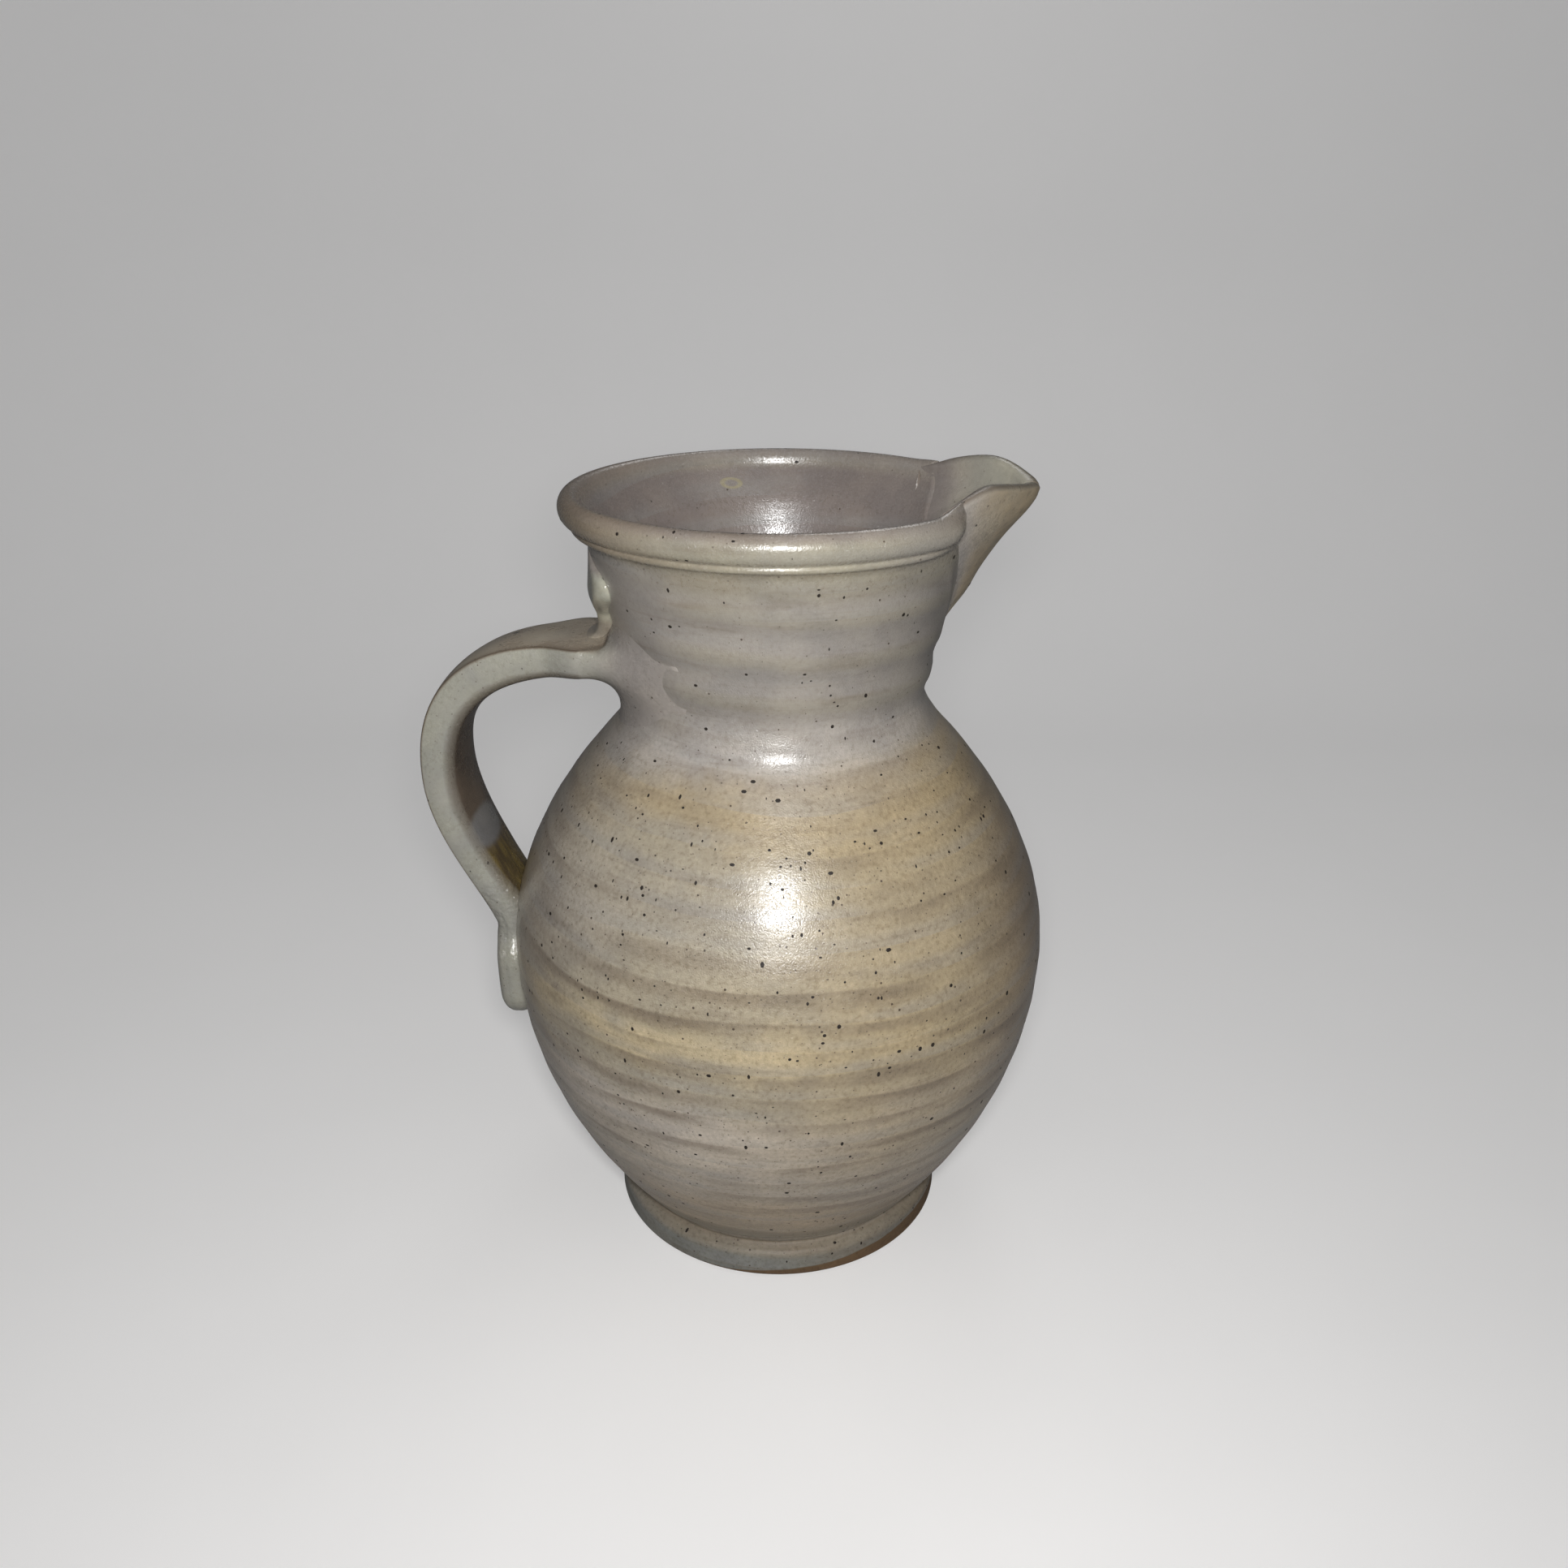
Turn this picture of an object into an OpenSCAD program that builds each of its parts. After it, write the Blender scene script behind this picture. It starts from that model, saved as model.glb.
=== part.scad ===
// Stoneware pitcher: a thrown jug with an applied beak, a pulled strap handle and a thumb lug.
// Millimetres, +Z up. The origin is where the jug's axis meets the surface that it stands on.
// The beak points along +X and the handle along -X.

/* [Belly and neck] */
// Height of the rim's crest above the standing surface
jug_height = 250; // [235:1:270]
// Widest diameter of the belly
belly_diameter = 174.6; // [160:0.2:190]
// Height of the widest place of the belly
belly_height = 101; // [90:1:112]
// Height at which the shoulder runs into the neck
shoulder_height = 182; // [174:1:188]
// Narrowest diameter of the neck, before its blend with the shoulder
neck_diameter = 91.2; // [84:0.2:100]
// Height at which the neck starts to flare
neck_height = 188; // [184:1:194]
// Width of the blend between shoulder and neck
shoulder_blend = 4; // [1:0.5:8]
// Thickness of the thrown wall
wall = 5.6; // [4:0.1:7]
// Thickness of the floor
floor_thickness = 8; // [6:0.5:11]
// Radius inside, where the wall runs into the floor
floor_fillet = 16; // [8:1:22]

/* [Foot] */
// Diameter of the foot flange
foot_diameter = 112.8; // [106:0.2:118]
// Height of the foot flange
foot_height = 10; // [8:0.5:12]
// Diameter of the waist above the flange
waist_diameter = 106; // [100:0.5:108]
// Height of the waist above the standing surface
waist_height = 11.6; // [11:0.2:13]
// Rounding of the foot's lower edge
foot_edge = 1.2; // [0.5:0.1:2]
// Rounding of the flange's upper edge
flange_round = 3; // [1.5:0.5:4]
// Height of the line cut above the flange
cut_line_height = 14.4; // [14:0.2:17]
// Depth of that line
cut_line_depth = 0.6; // [0.3:0.1:1]

/* [Rim] */
// Diameter across the rim bead
rim_diameter = 130.6; // [124:0.2:136]
// Height of the rim bead
bead_height = 8.6; // [7:0.2:10]
// How far the bead stands out of the lip
bead_depth = 3.6; // [2.5:0.1:4.5]
// Width of the lip from the crest to its inner edge
lip_width = 3; // [2:0.1:4]
// Diameter of the collar below the rim
collar_diameter = 114; // [108:0.5:118]
// Distance of the collar below the crest
collar_drop = 15.5; // [14.5:0.5:18]
// Radius of the thin ridge below the bead
ridge_radius = 1.1; // [0.8:0.1:1.4]

/* [Throwing rings] */
// Height between one throwing ring and the next
ring_pitch = 13.5; // [10:0.5:18]
// Height of the rings above the hollows between them
ring_depth = 0.6; // [0.2:0.1:1]

/* [Beak] */
// Distance of the beak's tip from the axis
beak_reach = 77.2; // [72:0.2:84]
// Distance of the beak's lower end below the rim's crest
beak_drop = 39; // [34:1:44]
// Half width of the beak at its lower end
beak_foot_half = 4; // [3:0.5:6]
// Half width of the beak at the rim's crest
beak_top_half = 35.5; // [30:0.5:42]
// How far the beak's lip rises over the rim on both sides
beak_rise = 4; // [2:0.2:6]
// Thickness of the beak's wall
beak_wall = 4.2; // [3:0.1:5.5]
// Width of the pouring channel as a share of the beak's width
channel_share = 0.72; // [0.6:0.01:0.78]
// Exponent of the beak's plan, from 1 for a wedge to 2 for an oval
beak_point = 1.3; // [1.2:0.05:2]
// How far the beak's keel stands out of the neck at its lower end
keel_start = 0.8; // [0.4:0.1:2]

/* [Handle] */
// Width of the strap where it leaves the neck
strap_width = 28; // [24:0.5:32]
// Width of the strap at its tail
tail_width = 25; // [20:0.5:30]
// Thickness of the strap at its edges
strap_thickness = 9.2; // [7.5:0.1:11]
// How far the middle of the strap's outer face stands over its edges
strap_crown = 1; // [0.4:0.1:2]
// How far the middle of the strap's inner face stands over its edges
strap_belly = 2.2; // [0.4:0.1:3]
// Distance of the strap's outer face from the axis
handle_reach = 111.6; // [106:0.2:118]
// Distance of the strap's upper face below the rim's crest
handle_drop = 45.7; // [44:0.1:50]
// Height of the handle's outermost place
handle_bow_height = 161; // [154:1:168]
// Length of the level run between the neck and the bow
handle_level = 12; // [8:1:18]
// Height at which the strap reaches the belly
tail_start_height = 114; // [108:1:120]
// Height of the tail's end on the belly
tail_end_height = 71.5; // [62:0.5:80]
// How far the tail's middle stands out of the belly
tail_stand = 2.2; // [1:0.1:3]
// Length of the rounding at the tail's end
tail_round = 12; // [6:0.5:16]
// How much thicker the strap grows where it joins the neck
root_flare = 8; // [3:0.5:10]
// Length over which it grows
root_length = 13; // [8:0.5:16]

/* [Thumb lug] */
// Width of the lug's roll, round the neck
lug_width = 24.8; // [20:0.2:27]
// How far the roll stands out of the neck
lug_stand = 5.2; // [4.2:0.1:6.5]
// How far the ends of the roll stand clear of the neck
lug_clear = 1.9; // [0.5:0.1:2.5]
// Height of the roll's middle over the strap
lug_rise = 13.7; // [12:0.1:16]
// Width of the lug's waist, under the roll
lug_waist_width = 17.6; // [14:0.2:19]
// How far the waist stands out of the neck
lug_waist_stand = 3.6; // [3:0.1:4]
// Width of the lug's skirt on the strap
lug_skirt_width = 26; // [20:0.2:27]
// How far the skirt runs out on the strap, past the waist
lug_skirt_reach = 12; // [6:0.5:14]
// Length of the wedge that runs out on the neck over the roll
lug_wedge = 15; // [8:0.5:15.5]

/* [Hidden] */

belly_r = belly_diameter / 2;
neck_r = neck_diameter / 2;
foot_r = foot_diameter / 2;
waist_r = waist_diameter / 2;
collar_r = collar_diameter / 2;
collar_height = jug_height - collar_drop;
neck_curve = 1.1;
lip_r = rim_diameter / 2 - bead_depth;
bead_middle = jug_height - bead_height / 2;
ridge_gap = 0.2;
ridge_sink = 0.9;
ridge_height = jug_height - bead_height - ridge_gap - ridge_radius;
ridge_r = lip_r - ridge_sink;
beak_foot_height = jug_height - beak_drop;
handle_top = jug_height - handle_drop;
lug_height = handle_top + lug_rise;

outer_steps = 92;
inner_steps = 44;
arc_steps = 8;
bead_steps = 14;
turn_fn = 96;

// Larger of two lengths, with their corner rounded over the width k
function soft_max(a, b, k) = (a + b + sqrt((a - b) * (a - b) + k * k)) / 2;

// Points of an arc with half axes a and b about a centre
function arc(centre, a, b, from, to, steps) =
    [for (i = [0 : steps])
        let (angle = from + (to - from) * i / steps)
        centre + [a * cos(angle), b * sin(angle)]];

// Smooth outer radius of the jug at a height, from the waist to the lip
function neck_at(z) =
    neck_r + (collar_r - neck_r) * pow(max(0, (z - neck_height) / (collar_height - neck_height)), neck_curve);
function shoulder_at(z) =
    belly_r - (belly_r - neck_r) * pow((z - belly_height) / (shoulder_height - belly_height), 2);
function lower_at(z) =
    belly_r - (belly_r - waist_r) * pow((belly_height - z) / (belly_height - waist_height), 2);
function body_at(z) =
    z < belly_height ? lower_at(z) : soft_max(shoulder_at(z), neck_at(z), shoulder_blend);

// Inner radius, one wall thickness inside the outer face measured square to it
slope_step = 0.5;
function slope_at(z) = (body_at(z + slope_step) - body_at(z - slope_step)) / (2 * slope_step);
function inner_at(z) = body_at(z) - wall * sqrt(1 + pow(slope_at(z), 2));

// Inner radius with the lip, which opens in a straight line from the collar to the rim
lip_inner_r = lip_r - lip_width;
function lip_share(z) = min(1, max(0, (z - collar_height) / (bead_middle - collar_height)));
function inside_at(z) =
    let (throat = inner_at(min(z, collar_height)))
    throat + (lip_inner_r - throat) * lip_share(z);

// Height of a throwing ring, fading out over one pitch at the waist and at the collar
function fade(z) = max(0, min(1, (z - waist_height) / ring_pitch, (collar_height - z) / ring_pitch));
function ring_at(z) = ring_depth / 2 * fade(z) * cos(360 * z / ring_pitch);

flange_turn = 60;
foot_outline = concat(
    arc([foot_r - foot_edge, foot_edge], foot_edge, foot_edge, -90, 0, arc_steps),
    arc([foot_r - flange_round, foot_height - flange_round], flange_round, flange_round, 0, flange_turn,
        arc_steps));

cut_line_half = 0.6;
cut_line_outline = [
    [body_at(cut_line_height - cut_line_half), cut_line_height - cut_line_half],
    [body_at(cut_line_height) - cut_line_depth, cut_line_height],
    [body_at(cut_line_height + cut_line_half), cut_line_height + cut_line_half]];

wall_low = cut_line_height + 2 * cut_line_half;
wall_outline =
    [for (i = [0 : outer_steps])
        let (z = wall_low + (collar_height - wall_low) * i / outer_steps)
        [body_at(z) + ring_at(z), z]];

ridge_turn = 50;
bead_turn = -70;
crest_turn = 8;
rim_outline = concat(
    [for (i = [1 : arc_steps - 1])
        let (angle = 90 * i / arc_steps)
        [collar_r + (ridge_r - collar_r) * (1 - cos(angle)),
         collar_height + (ridge_height - ridge_radius - collar_height) * sin(angle)]],
    arc([ridge_r, ridge_height], ridge_radius, ridge_radius, -90, ridge_turn, arc_steps),
    arc([lip_r, bead_middle], bead_depth, bead_height / 2, bead_turn, 90, bead_steps),
    arc([lip_r, bead_middle], lip_width, bead_height / 2, 90 + crest_turn, 180, arc_steps));

fillet_top = floor_thickness + floor_fillet;
inside_outline = concat(
    [for (i = [inner_steps : -1 : 1])
        let (z = fillet_top + (collar_height - fillet_top) * i / inner_steps)
        [inner_at(z), z]],
    arc([inner_at(fillet_top) - floor_fillet, fillet_top], floor_fillet, floor_fillet, 0, -90, arc_steps));

// The jug's outer form without its inside, which the applied pieces are shaped against
module outer_form() {
    rotate_extrude($fn = turn_fn)
        polygon(concat([[0, 0]], foot_outline, [[waist_r, waist_height]], cut_line_outline,
            wall_outline, rim_outline, [[0, bead_middle]]));
}

// V-shaped opening in the neck and rim that the beak fills
function beak_half(z) =
    beak_foot_half + (beak_top_half - beak_foot_half) * (z - beak_foot_height) / beak_drop;
notch_over = 10;
notch_top = jug_height + notch_over;
module beak_notch() {
    rotate([90, 0, 90])
        linear_extrude(beak_reach)
            polygon([
                [-beak_half(beak_foot_height), beak_foot_height],
                [beak_half(beak_foot_height), beak_foot_height],
                [beak_half(notch_top), notch_top],
                [-beak_half(notch_top), notch_top]]);
}

module thrown_body() {
    color("#a39a86")
        difference() {
            rotate_extrude($fn = turn_fn)
                polygon(concat([[0, 0]], foot_outline, [[waist_r, waist_height]], cut_line_outline,
                    wall_outline, rim_outline, inside_outline, [[0, floor_thickness]]));
            beak_notch();
        }
}

// The beak is a loft of level bands. Its plan is half a superellipse between the two cut faces.
beak_levels = 12;
beak_sides = 11;
keel_curve = 0.97;
lip_fullness = 0.8;
lip_lift = 0.8;
lip_draw = 0.3;
beak_count = 2 * beak_sides + 1;

function signed_power(v, p) = sign(v) * pow(abs(v), p);
function plan_angle(j) = 90 * (j / beak_sides - 1);
function from_seam(j) = 1 - abs(plan_angle(j)) / 90;
function lip_height(j) =
    let (w = from_seam(j))
    jug_height + beak_rise * pow(4 * w * (1 - w), lip_fullness);
function level_height(i, j) = beak_foot_height + (lip_height(j) - beak_foot_height) * i / beak_levels;
function keel_at(i) =
    let (start = body_at(beak_foot_height) + keel_start)
    start + (beak_reach - start) * (1 - pow(1 - i / beak_levels, keel_curve));
function inner_keel_at(i) =
    let (
        start = inside_at(beak_foot_height),
        end = beak_reach - beak_wall * sqrt(2))
    start + (end - start) * (1 - pow(1 - i / beak_levels, keel_curve));

// Plan point at level i and side j, between a seam on a circle and the keel
function plan_point(circle, half, keel, j) =
    let (
        seam = sqrt(circle * circle - half * half),
        angle = plan_angle(j),
        across = signed_power(sin(angle), 2 / beak_point),
        along = pow(abs(cos(angle)), 2 / beak_point))
    [seam + (keel - seam) * along, half * across];

function beak_outer(i, j) =
    let (
        z = level_height(i, j),
        p = plan_point(body_at(z), beak_half(z), keel_at(i), j))
    [p[0], p[1], z];
function beak_inner(i, j) =
    let (
        z = level_height(i, j),
        p = plan_point(inside_at(z), channel_share * beak_half(z), inner_keel_at(i), j))
    [p[0], p[1], z];
function beak_seam(i, side) =
    let (
        z = level_height(i, 0),
        half = beak_half(z))
    [sqrt(pow(inside_at(z), 2) - half * half), side * half, z];

// One closed ring of points at level i: outer face from -Y to +Y, then the inner face back
function beak_ring(i) = concat(
    [for (j = [0 : beak_count - 1]) beak_outer(i, j)],
    [beak_seam(i, 1)],
    [for (j = [beak_count - 1 : -1 : 0]) beak_inner(i, j)],
    [beak_seam(i, -1)]);

// The top ring drawn together and lifted, which rounds the lip
function beak_crest() =
    let (ring = beak_ring(beak_levels), n = len(ring))
    [for (k = [0 : n - 1]) ring[k] * (1 - lip_draw) + ring[n - 1 - k] * lip_draw + [0, 0, lip_lift]];

// Faces of a tube of rings of n points, closed at both ends
function tube_faces(rings, n) = concat(
    [for (i = [0 : rings - 2], k = [0 : n - 1], half = [0, 1])
        let (a = i * n + k, b = i * n + (k + 1) % n)
        half == 0 ? [a, a + n, b] : [b, a + n, b + n]]);
function strip_caps(first, m, flip) =
    [for (k = [0 : m - 2], half = [0, 1])
        let (
            n = 2 * m,
            a = first + k,
            b = first + k + 1,
            c = first + n - 1 - k,
            d = first + n - 2 - k,
            tri = half == 0 ? [a, b, c] : [b, d, c])
        flip ? [tri[2], tri[1], tri[0]] : tri];

module beak_spout() {
    ring_points = 2 * (beak_count + 1);
    color("#a89d86")
        polyhedron(
            points = concat([for (i = [0 : beak_levels]) each beak_ring(i)], beak_crest()),
            faces = concat(
                tube_faces(beak_levels + 2, ring_points),
                strip_caps(0, beak_count + 1, false),
                strip_caps((beak_levels + 1) * ring_points, beak_count + 1, true)),
            convexity = 6);
}

// Path of the strap's middle, in the XZ plane, from inside the neck to the tail's end
handle_mid = handle_top - strap_thickness / 2;
bow_x = -(handle_reach - strap_thickness / 2);
level_end = -(body_at(handle_mid) + handle_level);
root_start = -(body_at(handle_mid) - wall / 2);
bow_fullness = 0.66;
lower_fullness = 0.36;
tail_slope = [0.42, -0.91];
tail_lift = 0.8;
tail_touch = -(body_at(tail_start_height) + tail_stand + tail_lift);

function bezier(p, t) =
    pow(1 - t, 3) * p[0] + 3 * t * pow(1 - t, 2) * p[1] + 3 * t * t * (1 - t) * p[2] + pow(t, 3) * p[3];

upper_curve = [
    [level_end, handle_mid],
    [level_end + (bow_x - level_end) * bow_fullness, handle_mid],
    [bow_x, handle_bow_height + (handle_mid - handle_bow_height) * bow_fullness],
    [bow_x, handle_bow_height]];
lower_reach = (handle_bow_height - tail_start_height) * lower_fullness;
lower_curve = [
    [bow_x, handle_bow_height],
    [bow_x, handle_bow_height - lower_reach],
    [tail_touch, tail_start_height] - lower_reach * tail_slope,
    [tail_touch, tail_start_height]];
tail_drop = tail_start_height - tail_end_height;
tail_end = [-(body_at(tail_end_height) + tail_stand), tail_end_height];
tail_lead = 0.2;
tail_rise = 0.4;
tail_bulge = 0.09;
tail_curve = [
    [tail_touch, tail_start_height],
    [tail_touch, tail_start_height] + tail_drop * tail_lead * tail_slope,
    tail_end + tail_drop * [-tail_bulge, tail_rise],
    tail_end];

level_steps = 6;
bow_steps = 16;
run_steps = 12;
tail_steps = 18;
tail_crowding = 1.4;
strap_path = concat(
    [for (i = [0 : level_steps - 1]) [root_start + (level_end - root_start) * i / level_steps, handle_mid]],
    [for (i = [0 : bow_steps - 1]) bezier(upper_curve, i / bow_steps)],
    [for (i = [0 : run_steps - 1]) bezier(lower_curve, i / run_steps)],
    [for (i = [0 : tail_steps]) bezier(tail_curve, 1 - pow(1 - i / tail_steps, tail_crowding))]);
strap_last = len(strap_path) - 1;
function unit(v) = v / norm(v);
function path_tangent(i) = unit(strap_path[min(i + 1, strap_last)] - strap_path[max(i - 1, 0)]);
function path_normal(i) = [path_tangent(i)[1], -path_tangent(i)[0]];

// Rounding of the tail's end, and the flare where the strap joins the neck
function from_end(i) = norm(strap_path[i] - strap_path[strap_last]);
end_share = 0.97;
function end_round(i) = sqrt(1 - end_share * pow(max(0, 1 - from_end(i) / tail_round), 2));
function from_neck(i) = max(0, -strap_path[i][0] - body_at(handle_mid));
root_up = 0.3;
function root_share(i) = root_flare * pow(max(0, 1 - from_neck(i) / root_length), 2);
function strap_half(i) =
    (strap_width + (tail_width - strap_width) * i / strap_last) / 2 * end_round(i);
function strap_top(i) = strap_thickness / 2 * end_round(i) + root_share(i) * root_up;
function strap_bottom(i) = -strap_thickness / 2 * end_round(i) - root_share(i) * (1 - root_up);

// Section of the strap: a crowned outer face, crisp outer edges, soft inner edges
section_steps = 8;
edge_bulge = 1.03;
edge_share = 0.4;
soft_share = 0.8;
inner_share = 0.98;
function strap_section(i) =
    let (
        half = strap_half(i),
        top = strap_top(i),
        bottom = strap_bottom(i),
        crown = strap_crown * end_round(i),
        belly = strap_belly * end_round(i))
    concat(
        [for (k = [0 : section_steps])
            let (v = -1 + 2 * k / section_steps)
            [half * v, top + crown * (1 - v * v)]],
        [[half * edge_bulge, top * edge_share], [half * edge_bulge, bottom * edge_share]],
        [for (k = [0 : section_steps])
            let (angle = 180 * k / section_steps)
            [half * inner_share * cos(angle),
             bottom * soft_share + (bottom * (1 - soft_share) - belly) * sin(angle)]],
        [[-half * edge_bulge, bottom * edge_share], [-half * edge_bulge, top * edge_share]]);
function strap_point(i, s) =
    let (p = strap_path[i] + path_normal(i) * s[1])
    [p[0], s[0], p[1]];

function fan(first, n, flip) =
    [for (k = [1 : n - 2]) flip ? [first, first + k + 1, first + k] : [first, first + k, first + k + 1]];

module strap_sweep() {
    n = len(strap_section(0));
    polyhedron(
        points = [for (i = [0 : strap_last]) for (s = strap_section(i)) strap_point(i, s)],
        faces = concat(
            tube_faces(strap_last + 1, n),
            fan(0, n, false),
            fan(strap_last * n, n, true)),
        convexity = 8);
}

module strap_handle() {
    color("#9c9b87")
        difference() {
            strap_sweep();
            outer_form();
        }
}

// The lug is a loft of level sections: a skirt on the strap, a waist, a roll round the neck and a wedge
lug_levels = 24;
lug_sides = 28;
lug_sink = 1.5;
lug_taper = 0.78;
lug_roll_half = 4.2;
lug_skirt_height = 9;
lug_skirt_curve = 2.2;
lug_end_round = 0.8;
lug_face_round = 0.6;
lug_low = handle_top - 2 * lug_sink;

function lug_level(i) = lug_low + (lug_height + lug_wedge - lug_low) * i / lug_levels;
function roll_share(z) = exp(-pow((z - lug_height) / lug_roll_half, 2));
function skirt_share(z) = pow(max(0, 1 - max(0, z - handle_top) / lug_skirt_height), lug_skirt_curve);
function wedge_share(z) = 1 - lug_taper * max(0, z - lug_height) / lug_wedge;
function lug_keyed(waist, roll, skirt, z) =
    waist * wedge_share(z) + (roll - waist) * roll_share(z) + (skirt - waist) * skirt_share(z);
function lug_half(z) = lug_keyed(lug_waist_width, lug_width, lug_skirt_width, z) / 2;
function lug_out(z) = lug_keyed(lug_waist_stand, lug_stand, lug_waist_stand + lug_skirt_reach, z);

// Point of the lug's section at a height, at an angle from the side that faces away from the neck
function lug_point(z, angle) =
    let (
        y = -lug_half(z) * signed_power(sin(angle), lug_end_round),
        clear = lug_clear * roll_share(z),
        face = pow(abs(cos(angle)), lug_face_round),
        out = cos(angle) > 0 ? clear + (lug_out(z) - clear) * face : clear - (lug_sink + clear) * face,
        radius = body_at(z))
    [-(sqrt(radius * radius - y * y) + out), y, z];

module lug_loft() {
    polyhedron(
        points = [for (i = [0 : lug_levels], k = [0 : lug_sides - 1])
            lug_point(lug_level(i), 360 * k / lug_sides)],
        faces = concat(
            tube_faces(lug_levels + 1, lug_sides),
            fan(0, lug_sides, false),
            fan(lug_levels * lug_sides, lug_sides, true)),
        convexity = 6);
}

module handle_lug() {
    color("#a9aa97")
        difference() {
            lug_loft();
            outer_form();
            strap_sweep();
        }
}

thrown_body();
beak_spout();
strap_handle();
handle_lug();
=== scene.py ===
import math
import bpy
import numpy as np
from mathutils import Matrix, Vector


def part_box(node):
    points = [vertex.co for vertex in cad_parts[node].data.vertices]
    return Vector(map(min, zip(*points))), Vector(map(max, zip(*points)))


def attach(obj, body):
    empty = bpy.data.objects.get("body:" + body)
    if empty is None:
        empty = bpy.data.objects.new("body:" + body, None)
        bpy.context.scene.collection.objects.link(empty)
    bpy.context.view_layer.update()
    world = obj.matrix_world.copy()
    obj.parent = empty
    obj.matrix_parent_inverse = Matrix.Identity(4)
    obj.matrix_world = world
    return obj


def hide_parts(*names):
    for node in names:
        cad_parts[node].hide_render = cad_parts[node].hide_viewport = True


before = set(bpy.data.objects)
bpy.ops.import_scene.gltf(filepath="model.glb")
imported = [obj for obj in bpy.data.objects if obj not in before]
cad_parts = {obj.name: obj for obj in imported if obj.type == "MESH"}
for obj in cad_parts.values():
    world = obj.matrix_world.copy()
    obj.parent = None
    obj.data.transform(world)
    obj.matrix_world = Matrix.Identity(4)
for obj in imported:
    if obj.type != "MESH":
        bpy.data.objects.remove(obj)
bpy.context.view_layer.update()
print("frame loaded")

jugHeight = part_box("thrown_body")[1].z
handleReach = -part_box("strap_handle")[0].x - 0.001


# camera and studio

studio = {
    "cameraPlace": (0.0, -0.4105, 0.3324),
    "cameraTilt": 66.43,  # degrees up from straight down
    "lens": 31.68,  # mm on a 36 mm sensor
    "shiftX": 0.0037,
    "lampAim": (0, 0, 0.13),
    "lamps": (  # name, place, size and power
        ("frontLamp", (0.004, -0.416, 0.352), 0.06, 1.6),
        ("topLamp", (0.15, -0.25, 1.1), 0.9, 0.7),
        ("leftLamp", (-1.0, 0.2, 0.7), 0.9, 0.35),
        ("backLamp", (0.15, 0.52, 0.8), 0.3, 0.5)),
    "worldTone": (0.97, 0.97, 1.0),
    "worldStrength": 0.07,
    "floorTone": (0.74, 0.725, 0.715),
    "floorShade": 0.97,  # of that tone, in its clouds
    "floorRoughness": 0.75,
    "bounceTone": (0.36, 0.355, 0.35),  # what the floor throws back at the jug
    "floorLift": 0.28,  # glow that only the camera sees
    "wallDistance": 0.42,
    "sweepRadius": 0.3,
    "sweepReach": 3.0,
}


def show(item):
    bpy.context.scene.collection.objects.link(item)


def placeCamera():
    camera = bpy.data.cameras.new("photoCamera")
    camera.sensor_width = 36
    camera.lens = studio["lens"]
    camera.shift_x = studio["shiftX"]
    camera.clip_start = 0.01
    holder = bpy.data.objects.new("photoCamera", camera)
    holder.location = studio["cameraPlace"]
    holder.rotation_euler = (math.radians(studio["cameraTilt"]), 0, 0)
    show(holder)
    bpy.context.scene.camera = holder


def addLamp(name, place, size, power):
    lamp = bpy.data.lights.new(name, "AREA")
    lamp.shape = "DISK"
    lamp.size = size
    lamp.energy = power
    holder = bpy.data.objects.new(name, lamp)
    holder.location = place
    x, y, z = np.array(studio["lampAim"]) - np.array(place)
    holder.rotation_euler = (math.atan2(math.hypot(x, y), -z), 0, math.atan2(y, x) - math.pi / 2)
    holder.visible_camera = False
    show(holder)


placeCamera()
for lampValues in studio["lamps"]:
    addLamp(*lampValues)
bpy.context.scene.view_settings.view_transform = "Standard"
print("camera and lamps placed")


# node helpers

work = {}  # holds the tree that nodes are being put in


def wire(start, end):
    work["tree"].links.new(start, end)


def put(kind, sockets=None, **settings):
    node = work["tree"].nodes.new(kind)
    for name, value in settings.items():
        setattr(node, name, value)
    for name, value in (sockets or {}).items():
        if isinstance(value, bpy.types.NodeSocket):
            wire(value, node.inputs[name])
        else:
            node.inputs[name].default_value = value
    return node


def calc(operation, *values):
    return put("ShaderNodeMath", dict(enumerate(values)), operation=operation).outputs[0]


def times(first, *others):
    for other in others:
        first = calc("MULTIPLY", first, other)
    return first


def scaled(value, factor, offset):
    return calc("MULTIPLY_ADD", value, factor, offset)


def vectorCalc(operation, first, second=(0, 0, 0)):
    return put("ShaderNodeVectorMath", {0: first, 1: second}, operation=operation).outputs[0]


def stretch(vector, factors):
    return vectorCalc("MULTIPLY", vector, factors)


def grow(vector, factor):
    return put("ShaderNodeVectorMath", {0: vector, "Scale": factor}, operation="SCALE").outputs[0]


def split(vector):
    return tuple(put("ShaderNodeSeparateXYZ", {0: vector}).outputs)


def join(x=0.0, y=0.0, z=0.0):
    return put("ShaderNodeCombineXYZ", {0: x, 1: y, 2: z}).outputs[0]


def ease(value, low, high, toLow=0.0, toHigh=1.0):  # smooth step from low to high
    sockets = {"Value": value, "From Min": low, "From Max": high, "To Min": toLow, "To Max": toHigh}
    return put("ShaderNodeMapRange", sockets, interpolation_type="SMOOTHSTEP").outputs[0]


def noise(vector, scale, detail=2.0, rough=0.5):
    sockets = {"Vector": vector, "Scale": scale, "Detail": detail, "Roughness": rough}
    return put("ShaderNodeTexNoise", sockets).outputs[0]


def colour(tone):  # a socket, or a tone by its name or its numbers
    if isinstance(tone, bpy.types.NodeSocket):
        return tone
    return (*(glaze[tone] if isinstance(tone, str) else tone), 1.0)


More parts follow.
